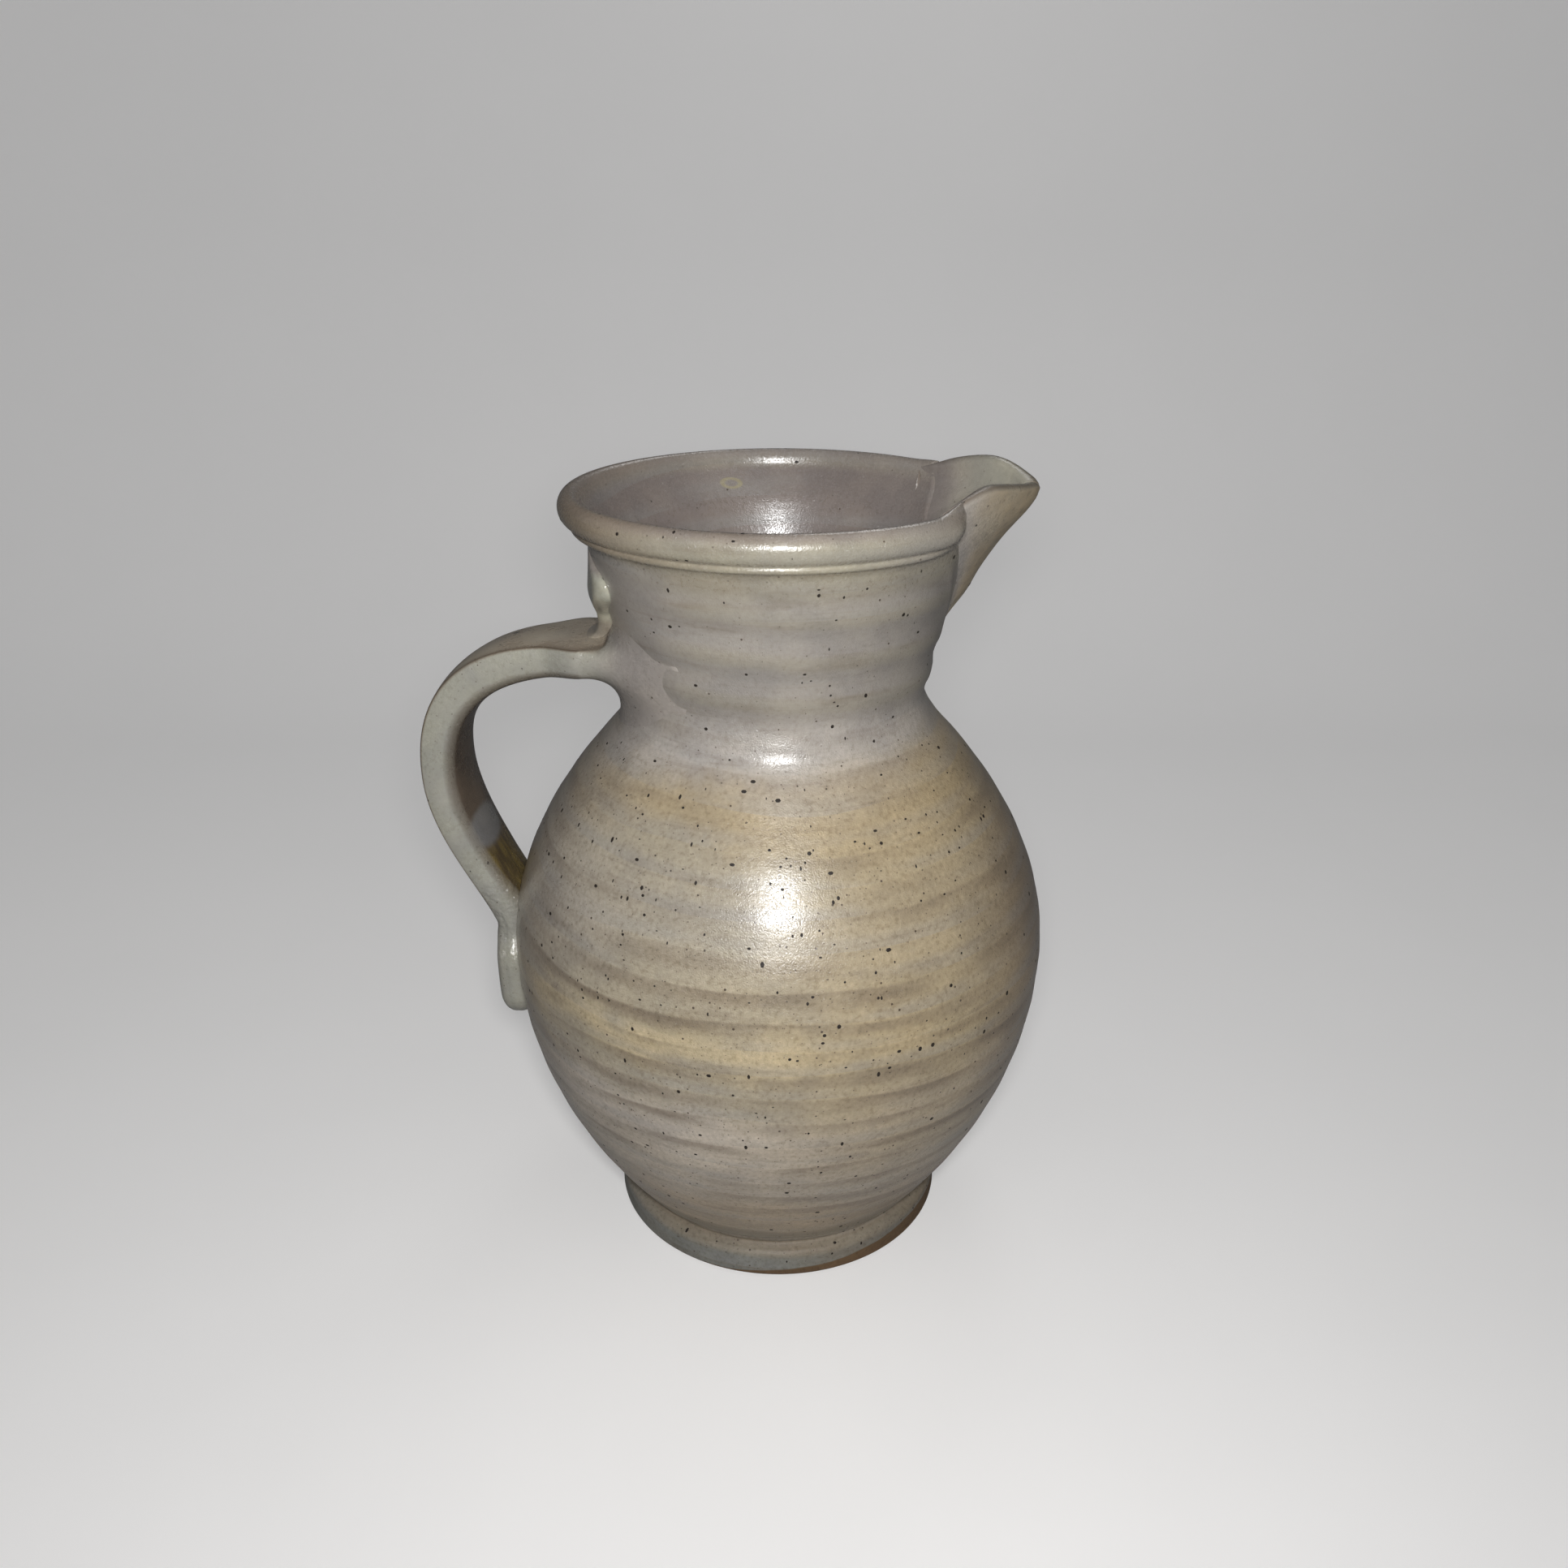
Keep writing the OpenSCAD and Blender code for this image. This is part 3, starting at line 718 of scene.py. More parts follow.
def bodyProfile():
    rows = []  # radius, height, depth of throwing rings, inside, edge

    def add(points, thrown=0.0, inside=0.0, edge=0.0):
        for radius, z in points:
            rows.append((radius, z, thrown, inside, edge))

    foot, edge, turn = jug["footRadius"], jug["footEdge"], jug["flangeRound"]
    add([(share * (foot - edge), 0.0) for share in np.linspace(0.12, 0.98, 6)])
    add(arc((foot - edge, edge), edge, edge, -90, 0, 6))
    add([(foot, z) for z in np.linspace(edge, jug["footHeight"] - turn, 5)[1:-1]])
    add(arc((foot - turn, jug["footHeight"] - turn), turn, turn, 0, 75, 9))
    add(arc((jug["waistRadius"] + 0.0009, jug["waistHeight"]), 0.0011, 0.0012, 250, 190, 5), edge=0.55)
    cut = jug["cutLineHeight"]
    for offset, depth in jug["cutLine"]:
        add([(float(bodyRadius(cut + offset)) - depth * jug["cutLineDepth"], cut + offset)], edge=0.75 * depth)
    for z in np.linspace(cut + 0.0014, collarHeight, jug["outerRows"]):
        fade = smooth(cut, cut + 0.016, z) * smooth(collarHeight, collarHeight - 0.010, z)
        deep = between(jug["bellyRings"], 1, smooth(0.165, 0.192, z))
        add([(float(bodyRadius(z)), z)], thrown=float(fade * deep))
    ridge = jug["ridgeRadius"]
    ridgeHeight = jugHeight - jug["beadHeight"] - jug["ridgeGap"] - ridge
    ridgeRadius = lipRadius - jug["ridgeSink"]
    for angle in np.radians(np.linspace(0, 90, 8)[1:-1]):
        add([(between(jug["collarRadius"], ridgeRadius, 1 - math.cos(angle)),
              between(collarHeight, ridgeHeight - ridge, math.sin(angle)))])
    add(arc((ridgeRadius, ridgeHeight), ridge, ridge, -90, 50, 8))
    bead, beadHalf = (lipRadius, beadMiddle), jug["beadHeight"] / 2
    add(arc(bead, jug["beadDepth"], beadHalf, -68, 60, 15))
    add(arc(bead, jug["beadDepth"], beadHalf, 68, 92, 4), edge=0.1)
    add(arc(bead, jug["lipWidth"], beadHalf, 104, 180, 9), inside=0.6)
    fillet = jug["floor"] + jug["floorFillet"]
    for z in np.linspace(beadMiddle - 0.002, fillet, jug["innerRows"]):
        add([(float(innerRadius(z)), z)], thrown=0.5 * float(smooth(fillet, fillet + 0.02, z)), inside=1.0)
    bottom = float(innerRadius(fillet)) - jug["floorFillet"]
    add(arc((bottom, fillet), jug["floorFillet"], jug["floorFillet"], -8, -90, 9), inside=1.0)
    add([(share * bottom, jug["floor"]) for share in np.linspace(0.85, 0.12, 5)], inside=1.0)
    return np.array(rows)


def rimLift(z, distance, side):  # the rim rises beside the beak
    rise = np.where(side < 0, beak["nearRise"], beak["farRise"])
    return rise * (1 - smooth(-0.004, beak["riseLength"], distance)) * smooth(collarHeight - 0.008, beadMiddle, z)


def besideBeak(radius, z, distance):  # the bead runs out before the beak, and the neck is folded
    if z > collarHeight:
        fade = between(beak["beadFade"], beak["ridgeFade"], smooth(beadMiddle + 0.002, collarHeight, z))
        share = smooth(-0.001, fade, distance)
        return float(bodyRadius(z)) * (1 - share) + radius * share
    fold = beak["fold"] * (hump(distance, *beak["foldCrest"]) - 0.7 * hump(distance, *beak["foldValley"]))
    return radius + fold * smooth(beakFoot + 0.004, beakFoot + 0.014, z) * smooth(collarHeight, collarHeight - 0.005, z)


def makeBody():
    rows = bodyProfile()
    columns = jug["columns"]
    points, ids, marks = [(0, 0, 0)], [], [(0, 0, 0)]
    for radius, z, thrown, inside, edge in rows:
        half = float(seamHalf(z))
        seam = math.asin(min(0.99, half / radius)) if half > 0 else 0.0
        angle = np.linspace(seam, 2 * math.pi - seam, columns + 1)
        if half == 0:
            angle = angle[:-1]
        side = np.where(angle < math.pi, 1.0, -1.0)
        distance = (np.where(side > 0, angle, 2 * math.pi - angle) - seam) * radius
        ringRadius, height, calm = np.full_like(angle, radius), np.full_like(angle, z), np.ones_like(angle)
        if half > 0:
            if inside < 0.4:
                ringRadius = besideBeak(ringRadius, z, distance)
            height = z + rimLift(z, distance, side)
            calm = smooth(0.003, beak["ringFade"], distance)
        if jug["shoulderHeight"] - 0.012 < z < collarHeight:  # rings are rubbed out where the handle is luted on
            calm = calm * (1 - 0.9 * smooth(0.5, 0.8, -np.cos(angle)))
        first = len(points)
        points.extend(zip(ringRadius * np.cos(angle), ringRadius * np.sin(angle), height))
        marks.extend((thrown * share, inside, edge) for share in calm)
        ring = np.arange(first, first + len(angle))
        ids.append(np.append(ring, first) if half == 0 else ring)
    points.append((0, 0, jug["floor"]))
    marks.append((0, 1, 0))
    last = len(points) - 1
    faces = [(0, int(ids[0][j + 1]), int(ids[0][j])) for j in range(columns)]
    for low, high in zip(ids[:-1], ids[1:]):
        faces.extend(np.stack([low[:-1], low[1:], high[1:], high[:-1]], 1).tolist())
    faces.extend((last, int(ids[-1][j]), int(ids[-1][j + 1])) for j in range(columns))
    opened = [k for k, row in enumerate(rows) if seamHalf(row[1]) > 0]
    chain = [opened[0] - 1, *opened, opened[-1] + 1]
    faces.append([int(ids[k][0]) for k in chain])  # the two cut faces of the V
    faces.append([int(ids[k][-1]) for k in reversed(chain)])
    thrown, inside, edge = np.array(marks).T
    return makePiece("thrownBody", np.array(points), faces, bodyGlaze, {
        "thrown": thrown, "inside": inside, "edge": edge})


rings = {
    "Pitch": 0.0135,  # one ridge for each turn of the wheel
    "Depth": 0.00052,
    "Fine Pitch": 0.0046,
    "Fine Depth": 0.00007,
    "Shift": 0.44,
    "Wobble": 0.0006,
}


def makeRingTree():
    tree, given, result = newShaper("throwingRings", rings)
    place = put("GeometryNodeInputPosition").outputs[0]
    x, y, z = split(place)
    turn = calc("ADD", spiralTurn(x, y), given["Shift"])
    drift = noise(place, 22.0, 1.0)

    def wave(pitch, shake):
        climb = calc("ADD", calc("DIVIDE", z, given[pitch]), turn)
        return calc("COSINE", times(scaled(drift, shake, climb), 2 * math.pi))

    broad, fine = wave("Pitch", 0.3), wave("Fine Pitch", 1.2)
    kept = store(given["Geometry"], "ring", scaled(broad, 0.5, 0.5), "POINT")
    push = scaled(fine, given["Fine Depth"], times(broad, given["Depth"]))
    push = scaled(calc("SUBTRACT", drift, 0.5), given["Wobble"], push)
    offset = grow(vectorCalc("NORMALIZE", join(x, y)), times(push, named("thrown")))
    dress(realize(put("GeometryNodeSetPosition", {"Geometry": kept.outputs[0], "Offset": offset})), given, result)
    return tree


# iron spots that have come up through the glaze, scattered over a piece

spots = {
    "Density": 15000.0,  # for each square metre
    "Smallest": 0.00024,
    "Spread": 0.00024,
    "Largest": 0.0003,  # added to a few
    "Height": 0.1,
    "Lowest": 0.006,
    "Seed": 3,
}


def makeSpotTree():
    tree, given, result = newShaper("ironSpots", spots)
    place = put("GeometryNodeInputPosition").outputs[0]
    height = split(place)[2]
    cluster = ease(noise(stretch(place, (26, 26, 62)), 1.0, 2.0), 0.36, 0.66, 0.25, 1.8)
    outside = scaled(calc("LESS_THAN", named("inside"), 0.5), 0.92, 0.08)
    share = times(cluster, ease(height, 0.175, 0.2, 1.0, 0.55), outside)
    share = times(share, calc("GREATER_THAN", height, given["Lowest"]))
    scatter = put("GeometryNodeDistributePointsOnFaces", {
        "Mesh": given["Geometry"], "Density": times(share, given["Density"]), "Seed": given["Seed"]},
        distribute_method="RANDOM").outputs
    dome = put("GeometryNodeMeshCone", {
        "Vertices": 6, "Side Segments": 1, "Radius Top": 0.6, "Radius Bottom": 1.0, "Depth": given["Height"]},
        fill_type="NGON")

    def random(seed):
        return put("FunctionNodeRandomValue", {"Seed": seed}, data_type="FLOAT").outputs[1]

    chance = random(given["Seed"])
    size = scaled(chance, given["Spread"], given["Smallest"])
    size = scaled(calc("POWER", chance, 9.0), given["Largest"], size)
    long = scaled(random(calc("ADD", given["Seed"], 9.0)), 0.6, 0.7)
    placed = put("GeometryNodeInstanceOnPoints", {
        "Points": scatter["Points"], "Instance": dome.outputs["Mesh"], "Rotation": scatter["Rotation"],
        "Scale": join(times(size, long), calc("DIVIDE", size, long), size)})
    real = realize(store(placed.outputs[0], "spot", ease(chance, 0.0, 0.6, 0.65, 1.0), "INSTANCE"))
    both = put("GeometryNodeJoinGeometry")
    wire(real.outputs[0], both.inputs[0])
    wire(given["Geometry"], both.inputs[0])
    dress(both, given, result)
    return tree


spotTree = makeSpotTree()
thrownBody = makeBody()
runTree(thrownBody, makeRingTree(), {**rings, "Material": bodyGlaze})
runTree(thrownBody, spotTree, {**spots, "Material": bodyGlaze})
print("body thrown:", len(thrownBody.data.polygons), "faces")


# beak

def lipHeight(s):
    away = np.clip(1 - np.abs(s), 0, 1)
    rise = np.where(s < 0, through(beak["nearLip"], away), through(beak["farLip"], away))
    return jugHeight + 0.001 * rise


def keelAt(z):
    share = np.clip((z - beakFoot) / beak["drop"], 0, 1.2)
    swell = beak["bulge"] * hump(share, *beak["bulgeHigh"]) * (1 - 0.7 * smooth(0.92, 1.04, share))
    swell = swell + 0.5 * beak["bulge"] * hump(share, *beak["bulgeLow"])
    return bodyRadius(z) + beak["stand"] * share ** beak["standCurve"] + swell


def softenSeams(points, seams):  # rounds the creases beside the beak
    columns = np.arange(points.shape[1])
    weight = sum(hump(columns, seam, beak["seamWidth"]) for seam in seams)[None, :, None]
    for step in range(beak["seamRounds"]):
        middle = points.copy()
        middle[:, 1:-1] = (points[:, :-2] + points[:, 2:]) / 2
        points = points + 0.5 * np.clip(weight, 0, 1) * (middle - points)
    return points


def beakSkin(inner):
    sides, extra = beak["sides"], beak["overlapSteps"]
    s = np.linspace(-1, 1, 2 * sides + 1)
    spread = np.concatenate([-1 - np.arange(extra, 0, -1) / extra, s, 1 + np.arange(1, extra + 1) / extra])
    beyond = np.clip(np.abs(spread) - 1, 0, 1)[None, :]
    level = np.linspace(0, 1, beak["rows"])[:, None]
    top = lipHeight(np.clip(spread, -1, 1)) - beak["lipRound"] - 0.003 * beyond
    z = between(beakFoot, top, level)
    half = np.maximum(seamHalf(z), 1e-5)
    angle = np.clip(spread, -1, 1) * math.pi / 2
    across = np.sign(angle) * np.abs(np.sin(angle)) ** (2 / beak["point"])
    fold = beak["keelRound"]  # the keel is round and not a sharp fold
    even = (np.sqrt(across ** 2 + fold ** 2) - fold) / (math.sqrt(1 + fold ** 2) - fold)
    along = np.clip(1 - even ** beak["point"], 0, 1) ** (1 / beak["point"])
    along = np.where(along < 1e-6, 0, along)[None, :]
    radius = innerRadius(z) if inner else bodyRadius(z)
    width = beak["channelShare"] * half if inner else half
    keel = np.maximum(keelAt(z) - beak["wall"], radius) if inner else keelAt(z)
    reach = (1.1 if inner else 1.0) * beak["overlap"]
    sink = (0.4 if inner else 1.0) * beak["sink"]
    seamX = np.sqrt(np.maximum(radius ** 2 - width ** 2, 0))
    x = between(seamX, keel, along)
    y = width * across[None, :]
    startTurn = np.arcsin(np.clip(width / radius, 0, 0.95))
    seamTurn = np.arcsin(np.clip(half / radius, 0, 0.95))
    endTurn = seamTurn + reach / radius
    turn = np.sign(spread)[None, :] * between(startTurn, endTurn, beyond)
    seam = np.clip((seamTurn - startTurn) / (endTurn - startTurn), 0, 0.9)
    past = smooth(0, 1, (beyond - seam) / (1 - seam))
    sunk = radius + (1 if inner else -1) * ((beak["embed"] + sink) * past - beak["embed"])
    x = np.where(beyond > 0, sunk * np.cos(turn), x)
    y = np.where(beyond > 0, sunk * np.sin(turn), y)
    points = softenSeams(np.stack([x, y, z], 2), (extra, extra + 2 * sides))
    return points, 1 - smooth(0, 0.65 if inner else 0.5, 1 - np.abs(spread))


def makeBeak():
    outside, joined = beakSkin(False)
    channel, merged = beakSkin(True)
    channel = channel[::-1]
    lip = []
    for share in np.linspace(0, 1, 11)[1:-1]:
        row = outside[-1] + (channel[0] - outside[-1]) * (1 - math.cos(math.pi * share)) / 2
        row[:, 2] += beak["lipRound"] * math.sin(math.pi * share)
        lip.append(row)
    grid = np.concatenate([outside, np.array(lip), channel, outside[:1]])
    rows, columns = grid.shape[0] - 1, grid.shape[1]
    index, faces = gridFaces(rows + 1, columns, False)
    faces = [[point % (rows * columns) for point in face] for face in faces]
    faces += [index[:-1, 0].tolist(), index[-2::-1, -1].tolist()]
    lipStart = len(outside)
    inside = np.zeros((rows, columns))
    inside[lipStart:lipStart + 2] = np.array([0.3, 0.7])[:, None]
    inside[lipStart + 2:] = 1
    edge = np.zeros((rows, columns))
    edge[lipStart:lipStart + 6] = np.array(beak["lipEdge"])[:, None]
    return makePiece("beakSpout", grid[:-1].reshape(-1, 3), faces, beakGlaze, {
        "inside": inside.ravel(), "edge": edge.ravel(), "joined": np.where(inside > 0.5, merged, joined).ravel()})


beakSpout = makeBeak()
runTree(beakSpout, spotTree, {**spots, "Material": beakGlaze, "Density": beak["spotDensity"], "Seed": 8})
print("beak folded:", len(beakSpout.data.polygons), "faces")


# strap handle

strap = {
    "width": 0.028,
    "tailWidth": 0.025,
    "thickness": 0.0092,
    "crown": 0.0007,
    "belly": 0.0022,
    "arris": 0.0009,
    "arrisEdge": (0.5, 0.9, 1, 0.7, 0.3, 0),
    "innerRound": 0.0026,
    "sideBulge": 0.0005,
    "drop": 0.0457,
    "bowHeight": 0.161,
    "levelRun": 0.012,
    "bowFullness": 0.66,
    "lowerFullness": 0.36,
    "tailSlope": (0.42, -0.91),
    "tailStart": 0.114,
    "tailEnd": 0.0715,
    "tailStand": 0.0022,
    "tailLift": 0.0008,
    "tailRound": 0.012,
    "tailLength": 0.014,  # laid with closer rows
    "tailSwell": 0.0042,
    "tailArris": 0.0032,
    "tailFull": 0.0009,  # thicker and rounder where the tail is smoothed over
    "tailInnerRound": 0.0014,
    "notch": 0.0006,
    "notchPlace": (0.037, 0.0025),  # middle and width, from the tail's end
    "softRun": (0.055, 0.04),  # where the tail gets smooth, from its end
    "swellRun": (0.035, 0.0245),
    "flareRun": (0.012, 0.0),
    "creaseWidth": 0.0009,
    "twist": (  # the far edge leans in
        (0, 0), (0.04, 0), (0.06, 0.05), (0.08, 0.09), (0.105, 0.05), (0.125, 0), (0.3, 0)),
    "nearLift": ((0, 0), (0.008, 0.2), (0.016, 1.2), (0.026, 2.3), (0.038, 2.3), (0.05, 1.3), (0.065, 0.3),
                 (0.08, 0), (0.3, 0)),
    "rootFlare": 0.0038,  # the strap is wider where it is luted on
    "tongueGap": 0.0012,  # its outer face ends in a rounded tongue before the neck
    "tongueRound": 0.0068,
    "steps": 110,
    "tailSteps": 22,
    "webSteps": 32,
    "webBackShares": (0.05, 0.3, 0.55, 0.8, 1),  # rows of its back, which lies in the wall of the neck
    "webEmbed": 0.0004,
    "webBack": 0.0022,  # how deep in it
    "webTurn": (-90, -60, -45, -25, 0, 25, 40, 47, 55, 63, 73, 82, 90),  # degrees round the section, from below
    "webSide": (0, 9, 15, 20, 23, 21.5, 17, 13.5, 15.5, 18, 16.6, 9.5, 0),  # mm that the root spreads sideways
    "webUp": (-16, -14.5, -12, -7, 2, 9, 11, 13, 16, 18, 18, 17, 15),  # mm that it spreads upwards
    "webThick": (4.6, 4.4, 4, 3.2, 2.6, 2.6, 2.6, 2.4, 2.2, 2, 2, 2, 2),  # mm of clay in the corner
    "spotDensity": 3000.0,
}
strapTop = jugHeight - strap["drop"]
strapMiddle = strapTop - strap["thickness"] / 2
rootHalf = strap["width"] / 2 + strap["rootFlare"]


def strapCurves():  # three curves in the plane of the handle, end to end
    start = -(float(bodyRadius(strapMiddle)) + strap["levelRun"])
    bow = -(handleReach - strap["thickness"] / 2)
    full = strap["bowFullness"]
    bowHeight = strap["bowHeight"]
    upper = [(start, strapMiddle), (start + (bow - start) * full, strapMiddle),
             (bow, bowHeight + (strapMiddle - bowHeight) * full), (bow, bowHeight)]
    slope = np.array(strap["tailSlope"])
    tailStart, tailEnd = strap["tailStart"], strap["tailEnd"]
    touch = np.array([-(float(bodyRadius(tailStart)) + strap["tailStand"] + strap["tailLift"]), tailStart])
    reach = (bowHeight - tailStart) * strap["lowerFullness"]
    lower = [(bow, bowHeight), (bow, bowHeight - reach), touch - reach * slope, touch]
    end = np.array([-(float(bodyRadius(tailEnd)) + strap["tailStand"]), tailEnd])
    drop = tailStart - tailEnd
    tail = [touch, touch + 0.2 * drop * slope, end + drop * np.array([-0.09, 0.4]), end]
    return upper, lower, tail


def curveLength(points):
    line = bezier(np.linspace(0, 1, 400)[:, None], *(np.array(point) for point in points))
    return float(np.linalg.norm(np.diff(line, axis=0), axis=1).sum())


def strapSection(half, thick, scale, arris, softer=0.0):  # clockwise from the middle of the outer face
    arris, belly = arris * scale, strap["belly"] * scale
    soft = (strap["innerRound"] + softer) * scale
    rows = []  # across, over, and the marks: outer face, inner face, edge
    for v in np.linspace(0, 1, 8)[:-1]:
        rows.append((v * (half - arris), thick + strap["crown"] * scale * (1 - v * v), 1, 0, 0.3 * v ** 8))
    for k, (x, y) in enumerate(arc((half - arris, thick - arris), arris, arris, 90, 0, 6)):
        rows.append((x, y, 1 - k / 5, 0, strap["arrisEdge"][k]))
    for v in np.linspace(0, 1, 8)[1:-1]:
        y = (thick - arris) + v * ((soft - thick) - (thick - arris))
        rows.append((half + strap["sideBulge"] * scale * (1 - (2 * v - 1) ** 2), y, 0, 0, 0))
    for k, (x, y) in enumerate(arc((half - soft, soft - thick), soft, soft, 0, -90, 8)):
        v = k / 7
        rows.append((x, y - belly * (1 - (x / half) ** 2) * v, 0, v ** 1.5, 0.5 * math.sin(math.pi * k / 7)))
    for v in np.linspace(1, 0, 8)[1:]:
        x = v * (half - soft)
        rows.append((x, -thick - belly * (1 - (x / half) ** 2), 0, 1, 0))
    rows = np.array(rows)
    rows = np.concatenate([rows, rows[::-1][1:-1] * (-1, 1, 1, 1, 1)])
    return rows[:, :2], rows[:, 2:]


def tongueEnd(y):
    share = np.clip(np.abs(y) / rootHalf, 0, 1)
    return strap["tongueGap"] + strap["tongueRound"] * (1 - np.sqrt(1 - share ** 2))


def neckDepth(y, z, sunk=0.0):  # how far the neck reaches towards the handle
    return np.sqrt((bodyRadius(z) - sunk) ** 2 - y ** 2)


def neckGap(points):  # how far points stand out of the neck towards the handle
    return -points[:, 0] - neckDepth(points[:, 1], points[:, 2])


def strapWeb(section, marks, start):  # ribs that run out on the neck, from their toes to the strap's start
    turn = np.degrees(np.arctan2(section[:, 1] / (strap["thickness"] / 2), np.abs(section[:, 0]) / rootHalf))

    def spread(label):
        return 0.001 * np.interp(turn, strap["webTurn"], strap[label])

    side, up, fill = spread("webSide") * np.sign(section[:, 0]), spread("webUp"), spread("webThick")
    first = np.stack([np.full(len(section), start), section[:, 0], strapMiddle + section[:, 1]], 1)
    toe = first + np.stack([0 * side, side, up], 1)
    radius = bodyRadius(toe[:, 2])
    toe[:, 0] = -np.sqrt(radius ** 2 - toe[:, 1] ** 2)
    normal = np.stack([toe[:, 0], toe[:, 1], -radius * bodySlope(toe[:, 2])], 1)
    knee = first.copy()  # where the strap's surface would meet the neck's tangent plane
    lean = normal[:, 1] * (first[:, 1] - toe[:, 1]) + normal[:, 2] * (first[:, 2] - toe[:, 2])
    neck = neckDepth(first[:, 1], first[:, 2])
    knee[:, 0] = np.clip(toe[:, 0] - lean / normal[:, 0], start + 0.002, -neck - fill)
    normal /= np.linalg.norm(normal, axis=1)[:, None]
    run = knee - toe  # leaves the toe along the neck's surface
    hug = (0.6 + 0.25 * smooth(35, 55, turn))[:, None]
    run = toe + hug * (run - np.sum(run * normal, 1)[:, None] * normal)
    run[:, 0] -= np.maximum(0, 0.6 * fill * smooth(-20, -70, turn) - neckGap(run))
    toe = toe - strap["webEmbed"] * normal
    ribs, joined, ribMarks = [], [], []
    for share in strap["webBackShares"]:
        y, z = share * toe[:, 1], strapMiddle + share * (toe[:, 2] - strapMiddle)
        ribs.append(np.stack([-neckDepth(y, z, strap["webBack"]), y, z], 1))
        joined.append(np.ones(len(section)))
        ribMarks.append(np.zeros((len(section), 3)))
    for t in np.linspace(1, 0, strap["webSteps"])[:-1]:
        rib = bezier(t, first, knee, run, toe)
        for step in range(int(24 * math.sin(math.pi * t))):  # the strap's corners are rubbed smooth
            rib = (np.roll(rib, 1, 0) + 2 * rib + np.roll(rib, -1, 0)) / 4
        past = neckGap(rib) - tongueEnd(rib[:, 1])
        face = marks[:, 0] * smooth(-0.0005, 0.0005, past)
        crease = marks[:, 0] * hump(past, 0, strap["creaseWidth"])  # dark line where the strap's face ends
        ribs.append(rib)
        joined.append((0.15 + 0.85 * float(smooth(0.15, 0.7, t))) * (1 - face))
        ribMarks.append(np.stack([face, marks[:, 1], np.maximum(marks[:, 2] * face, crease)], 1))
    return ribs, joined, ribMarks


def makeStrap():  # straight, with its root already in place on the neck
    curves = strapCurves()
    total = sum(curveLength(curve) for curve in curves)
    thick, tail = strap["thickness"] / 2, strap["tailLength"]
    section, sectionMarks = strapSection(rootHalf, thick, 1.0, strap["arris"])
    rows, joined, marks = strapWeb(section, sectionMarks, curves[0][0][0])
    placed = [np.ones(len(section))] * len(rows)
    for length in np.concatenate([np.linspace(0, total - tail, strap["steps"]),
                                  total - tail * (1 - np.linspace(0, 1, strap["tailSteps"])[1:]) ** 1.6]):
        left = total - length
        scale = math.sqrt(1 - 0.99 * max(0, 1 - left / strap["tailRound"]) ** 2)
        soft = float(smooth(*strap["softRun"], left))  # the tail is smoothed over, swollen and glossy
        swell = strap["tailSwell"] * float(smooth(*strap["swellRun"], left))
        flare = float(smooth(*strap["flareRun"], length))
        half = between(strap["width"], strap["tailWidth"], length / total) / 2 * scale
        half += swell * scale + strap["rootFlare"] * flare
        arris = between(strap["arris"], strap["tailArris"], soft)
        full = thick + strap["tailFull"] * soft - strap["notch"] * hump(left, *strap["notchPlace"])
        section, sectionMarks = strapSection(half, full * scale, scale, arris, strap["tailInnerRound"] * soft)
        lean = float(through(strap["twist"], length)) * (section[:, 0] + half)
        near = (half - section[:, 0]) / (2 * half) * np.clip(section[:, 1] / thick + 1, 0, None) / 2
        lift = 0.001 * float(through(strap["nearLift"], length)) * near
        rows.append(np.stack([np.full(len(section), length), section[:, 0], section[:, 1] - lean + lift], 1))
        marks.append(sectionMarks * (1 - 0.9 * soft, 1, 1 - 0.9 * soft))
        joined.append(0.15 * flare * (1 - sectionMarks[:, 0]))
        placed.append(np.zeros(len(section)))
    outerFace, innerFace, edge = np.concatenate(marks).T
    return curves, makeTube("strapHandle", np.array(rows), strapGlaze, {
        "outerFace": outerFace, "innerFace": innerFace, "edge": edge,
        "joined": np.concatenate(joined), "placed": np.concatenate(placed)})


def makeSweepTree():  # lays a straight strap along the three curves of the handle
    handles = ["Root", "Root Handle", "Bow Handle Over", "Bow", "Bow Handle Under", "Tail Handle Over", "Tail",
               "Tail Handle Under", "End Handle", "End"]
    tree, given, result = newShaper("strapSweep", {label: "Vector" for label in handles})
    path = put("GeometryNodeJoinGeometry")
    for k in (6, 3, 0):
        ends = zip(("Start", "Start Handle", "End Handle", "End"), (given[label] for label in handles[k:k + 4]))
        segment = put("GeometryNodeCurvePrimitiveBezierSegment", {"Resolution": 96, **dict(ends)}, mode="POSITION")
        wire(segment.outputs[0], path.inputs[0])
    x, y, z = split(put("GeometryNodeInputPosition").outputs[0])
    sample = put("GeometryNodeSampleCurve", {"Curves": path.outputs[0], "Length": x}, mode="LENGTH",
                 use_all_curves=True).outputs
    over = vectorCalc("CROSS_PRODUCT", sample["Tangent"], (0, -1, 0))
    target = vectorCalc("ADD", vectorCalc("ADD", sample["Position"], grow(over, z)), join(y=y))
    loose = put("FunctionNodeCompare", {0: named("placed"), 1: 0.5}, data_type="FLOAT", operation="LESS_THAN")
    laid = put("GeometryNodeSetPosition", {
        "Geometry": given["Geometry"], "Selection": loose.outputs[0], "Position": target})
    dress(realize(laid), given, result)
    return tree, handles


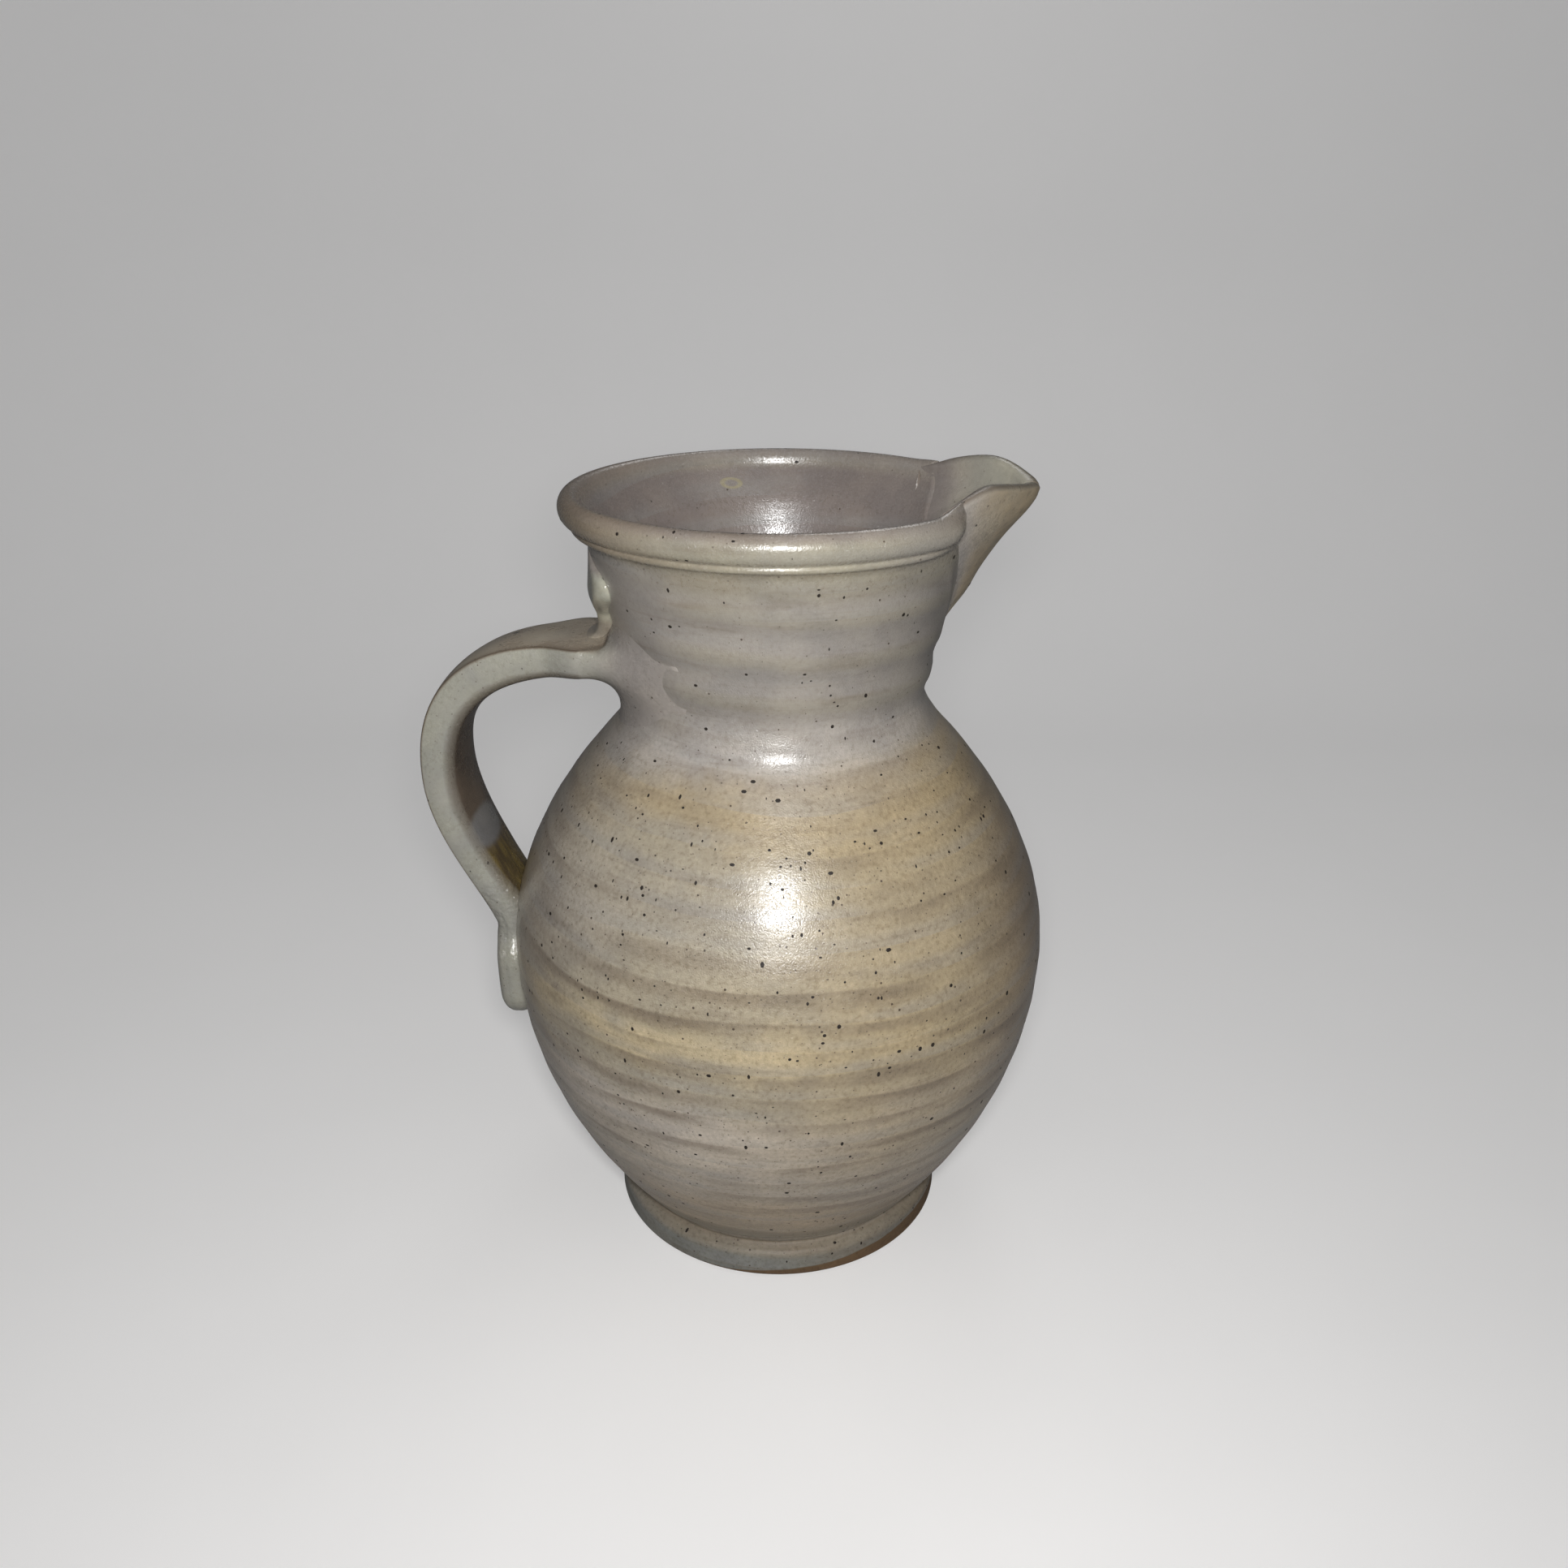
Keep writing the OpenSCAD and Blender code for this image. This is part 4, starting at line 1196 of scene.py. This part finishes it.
strapLine, strapHandle = makeStrap()
sweepTree, sweepHandles = makeSweepTree()
sweepPoints = [*strapLine[0], *strapLine[1][1:], *strapLine[2][1:]]
runTree(strapHandle, sweepTree, {
    "Material": strapGlaze,
    **{label: (float(x), 0.0, float(z)) for label, (x, z) in zip(sweepHandles, sweepPoints)}})
runTree(strapHandle, spotTree, {**spots, "Material": strapGlaze, "Density": strap["spotDensity"], "Seed": 5})
print("strap pulled:", len(strapHandle.data.polygons), "faces")


# thumb lug

lug = {  # tables run from mm over the strap to mm
    "stand": ((-1, 11.5), (-0.2, 10.5), (0.15, 9), (0.7, 7.6), (1.8, 6.2), (4, 5), (6.2, 4.4), (8.3, 4.1), (11, 4.2),
              (13.5, 4.6), (16, 4.3), (18, 3.6), (22, 2.2), (26, 0.9), (30, 0.1)),  # out of the neck
    "half": ((-1, 10), (2, 9), (5, 7.5), (8.3, 7.8), (10, 10.5), (12, 14.8), (14, 17.9), (16, 19.1), (18, 19.3),
             (20, 18.4), (22, 16), (24, 12.2), (26, 8), (28, 5.2), (30, 2.5)),
    "clear": (  # how far its ends stand off
        (-1, 0), (8.3, 0.2), (11.5, 0.6), (14.5, 0.9), (18, 0.9), (21, 0.5), (24, 0.1), (30, 0)),
    "shift": ((-1, 0), (5, 0), (8.3, 0.8), (10, 1.5), (12, 3.2), (14, 4.6), (16, 5.2), (18, 5.3), (20, 5.4), (22, 5),
              (24, 3.8), (26, 2.5), (28, 1.7), (30, 0.5)),
    "tilt": ((-1, 0), (7, 0), (13, 0.1), (20, 0.12), (30, 0.1)),  # slope of its rise towards the camera's side
    "joinedRun": (20, 23),  # mm over the strap
    "baseRun": (8.5, 4.5),
    "creaseRun": (5, 2),
    "crownRun": (0, 6),
    "creaseWidth": 0.0006,
    "endRound": 0.0036,
    "embed": 0.001,
    "columns": 64,
    "rows": 80,
}


def makeLug():
    over = np.linspace(lug["stand"][0][0], lug["stand"][-1][0], lug["rows"])
    keys = [0.001 * through(lug[label], over) for label in ("stand", "half", "clear", "shift")]
    turn = np.linspace(0, 2 * math.pi, lug["columns"], endpoint=False)
    points, marks = [], []  # marks: joined, base, edge
    for height, tilt, stand, half, clear, shift in zip(over, through(lug["tilt"], over), *keys):
        y = -half * np.sin(turn)
        bend = min(half, lug["endRound"])
        face = np.sqrt(1 - np.clip((np.abs(y) - half + bend) / bend, 0, 1) ** 2)  # level, round at its ends
        crown = strap["crown"] * (1 - (y / half) ** 2) * (1 - float(smooth(*lug["crownRun"], height)))
        y = y - shift
        z = strapTop + 0.001 * height + crown - tilt * y
        out = np.where(np.cos(turn) > 0, clear + (stand - clear) * face, clear - (lug["embed"] + clear) * face)
        points.append(np.stack([-(neckDepth(y, z) + out), y, z], 1))
        crease = float(smooth(*lug["creaseRun"], height)) * hump(out, tongueEnd(y), lug["creaseWidth"])
        joined, base = (np.full_like(y, smooth(*lug[label], height)) for label in ("joinedRun", "baseRun"))
        marks.append(np.stack([joined, base, crease], 1))
    joined, base, edge = np.concatenate(marks).T
    return makeTube("thumbLug", np.array(points), lugGlaze, {
        "joined": joined, "base": base, "edge": edge, "rise": np.repeat(0.001 * over, lug["columns"])})


thumbLug = makeLug()
print("lug pressed on:", len(thumbLug.data.polygons), "faces")


# pieces ride on the frame

for piece, node, slot in ((thrownBody, "thrown_body", "body_glaze"), (beakSpout, "beak_spout", "beak_glaze"),
                          (strapHandle, "strap_handle", "handle_glaze"), (thumbLug, "handle_lug", "lug_glaze")):
    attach(piece, "root")
    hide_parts(node)


# floor and world

def makeSweep():
    radius, wall, reach = studio["sweepRadius"], studio["wallDistance"], studio["sweepReach"]
    line = [(-reach, 0.0), (0.0, 0.0)]
    for angle in np.radians(np.linspace(0, 90, 24)):
        line.append((wall + radius * math.sin(angle), radius * (1 - math.cos(angle))))
    line.append((wall + radius, reach))
    points = [(x, y, z) for y, z in line for x in (-reach, reach)]
    faces = [(2 * k, 2 * k + 1, 2 * k + 3, 2 * k + 2) for k in range(len(line) - 1)]
    mesh = bpy.data.meshes.new("studioSweep")
    mesh.from_pydata(points, [], faces)
    mesh.polygons.foreach_set("use_smooth", [True] * len(faces))
    sweep = bpy.data.objects.new("studioSweep", mesh)
    show(sweep)
    material, shader, place = startMaterial("palePaint")
    shaded = tuple(studio["floorShade"] * tone for tone in studio["floorTone"])
    pale = mixTone(clouded(place, 0.12, 0.004)["Cloud"], shaded, studio["floorTone"])
    seen = put("ShaderNodeLightPath").outputs["Is Camera Ray"]
    wire(mixTone(seen, studio["bounceTone"], pale), shader.inputs["Base Color"])
    wire(mixTone(seen, (0, 0, 0), (studio["floorLift"],) * 3), shader.inputs["Emission Color"])
    shader.inputs["Roughness"].default_value = studio["floorRoughness"]
    shader.inputs["Emission Strength"].default_value = 1.0
    mesh.materials.append(material)


def makeWorld():
    world = bpy.data.worlds.new("studioWorld")
    world.use_nodes = True
    backdrop = world.node_tree.nodes["Background"]
    backdrop.inputs["Color"].default_value = (*studio["worldTone"], 1.0)
    backdrop.inputs["Strength"].default_value = studio["worldStrength"]
    bpy.context.scene.world = world


makeSweep()
makeWorld()
print("floor and world set")

bpy.context.view_layer.update()
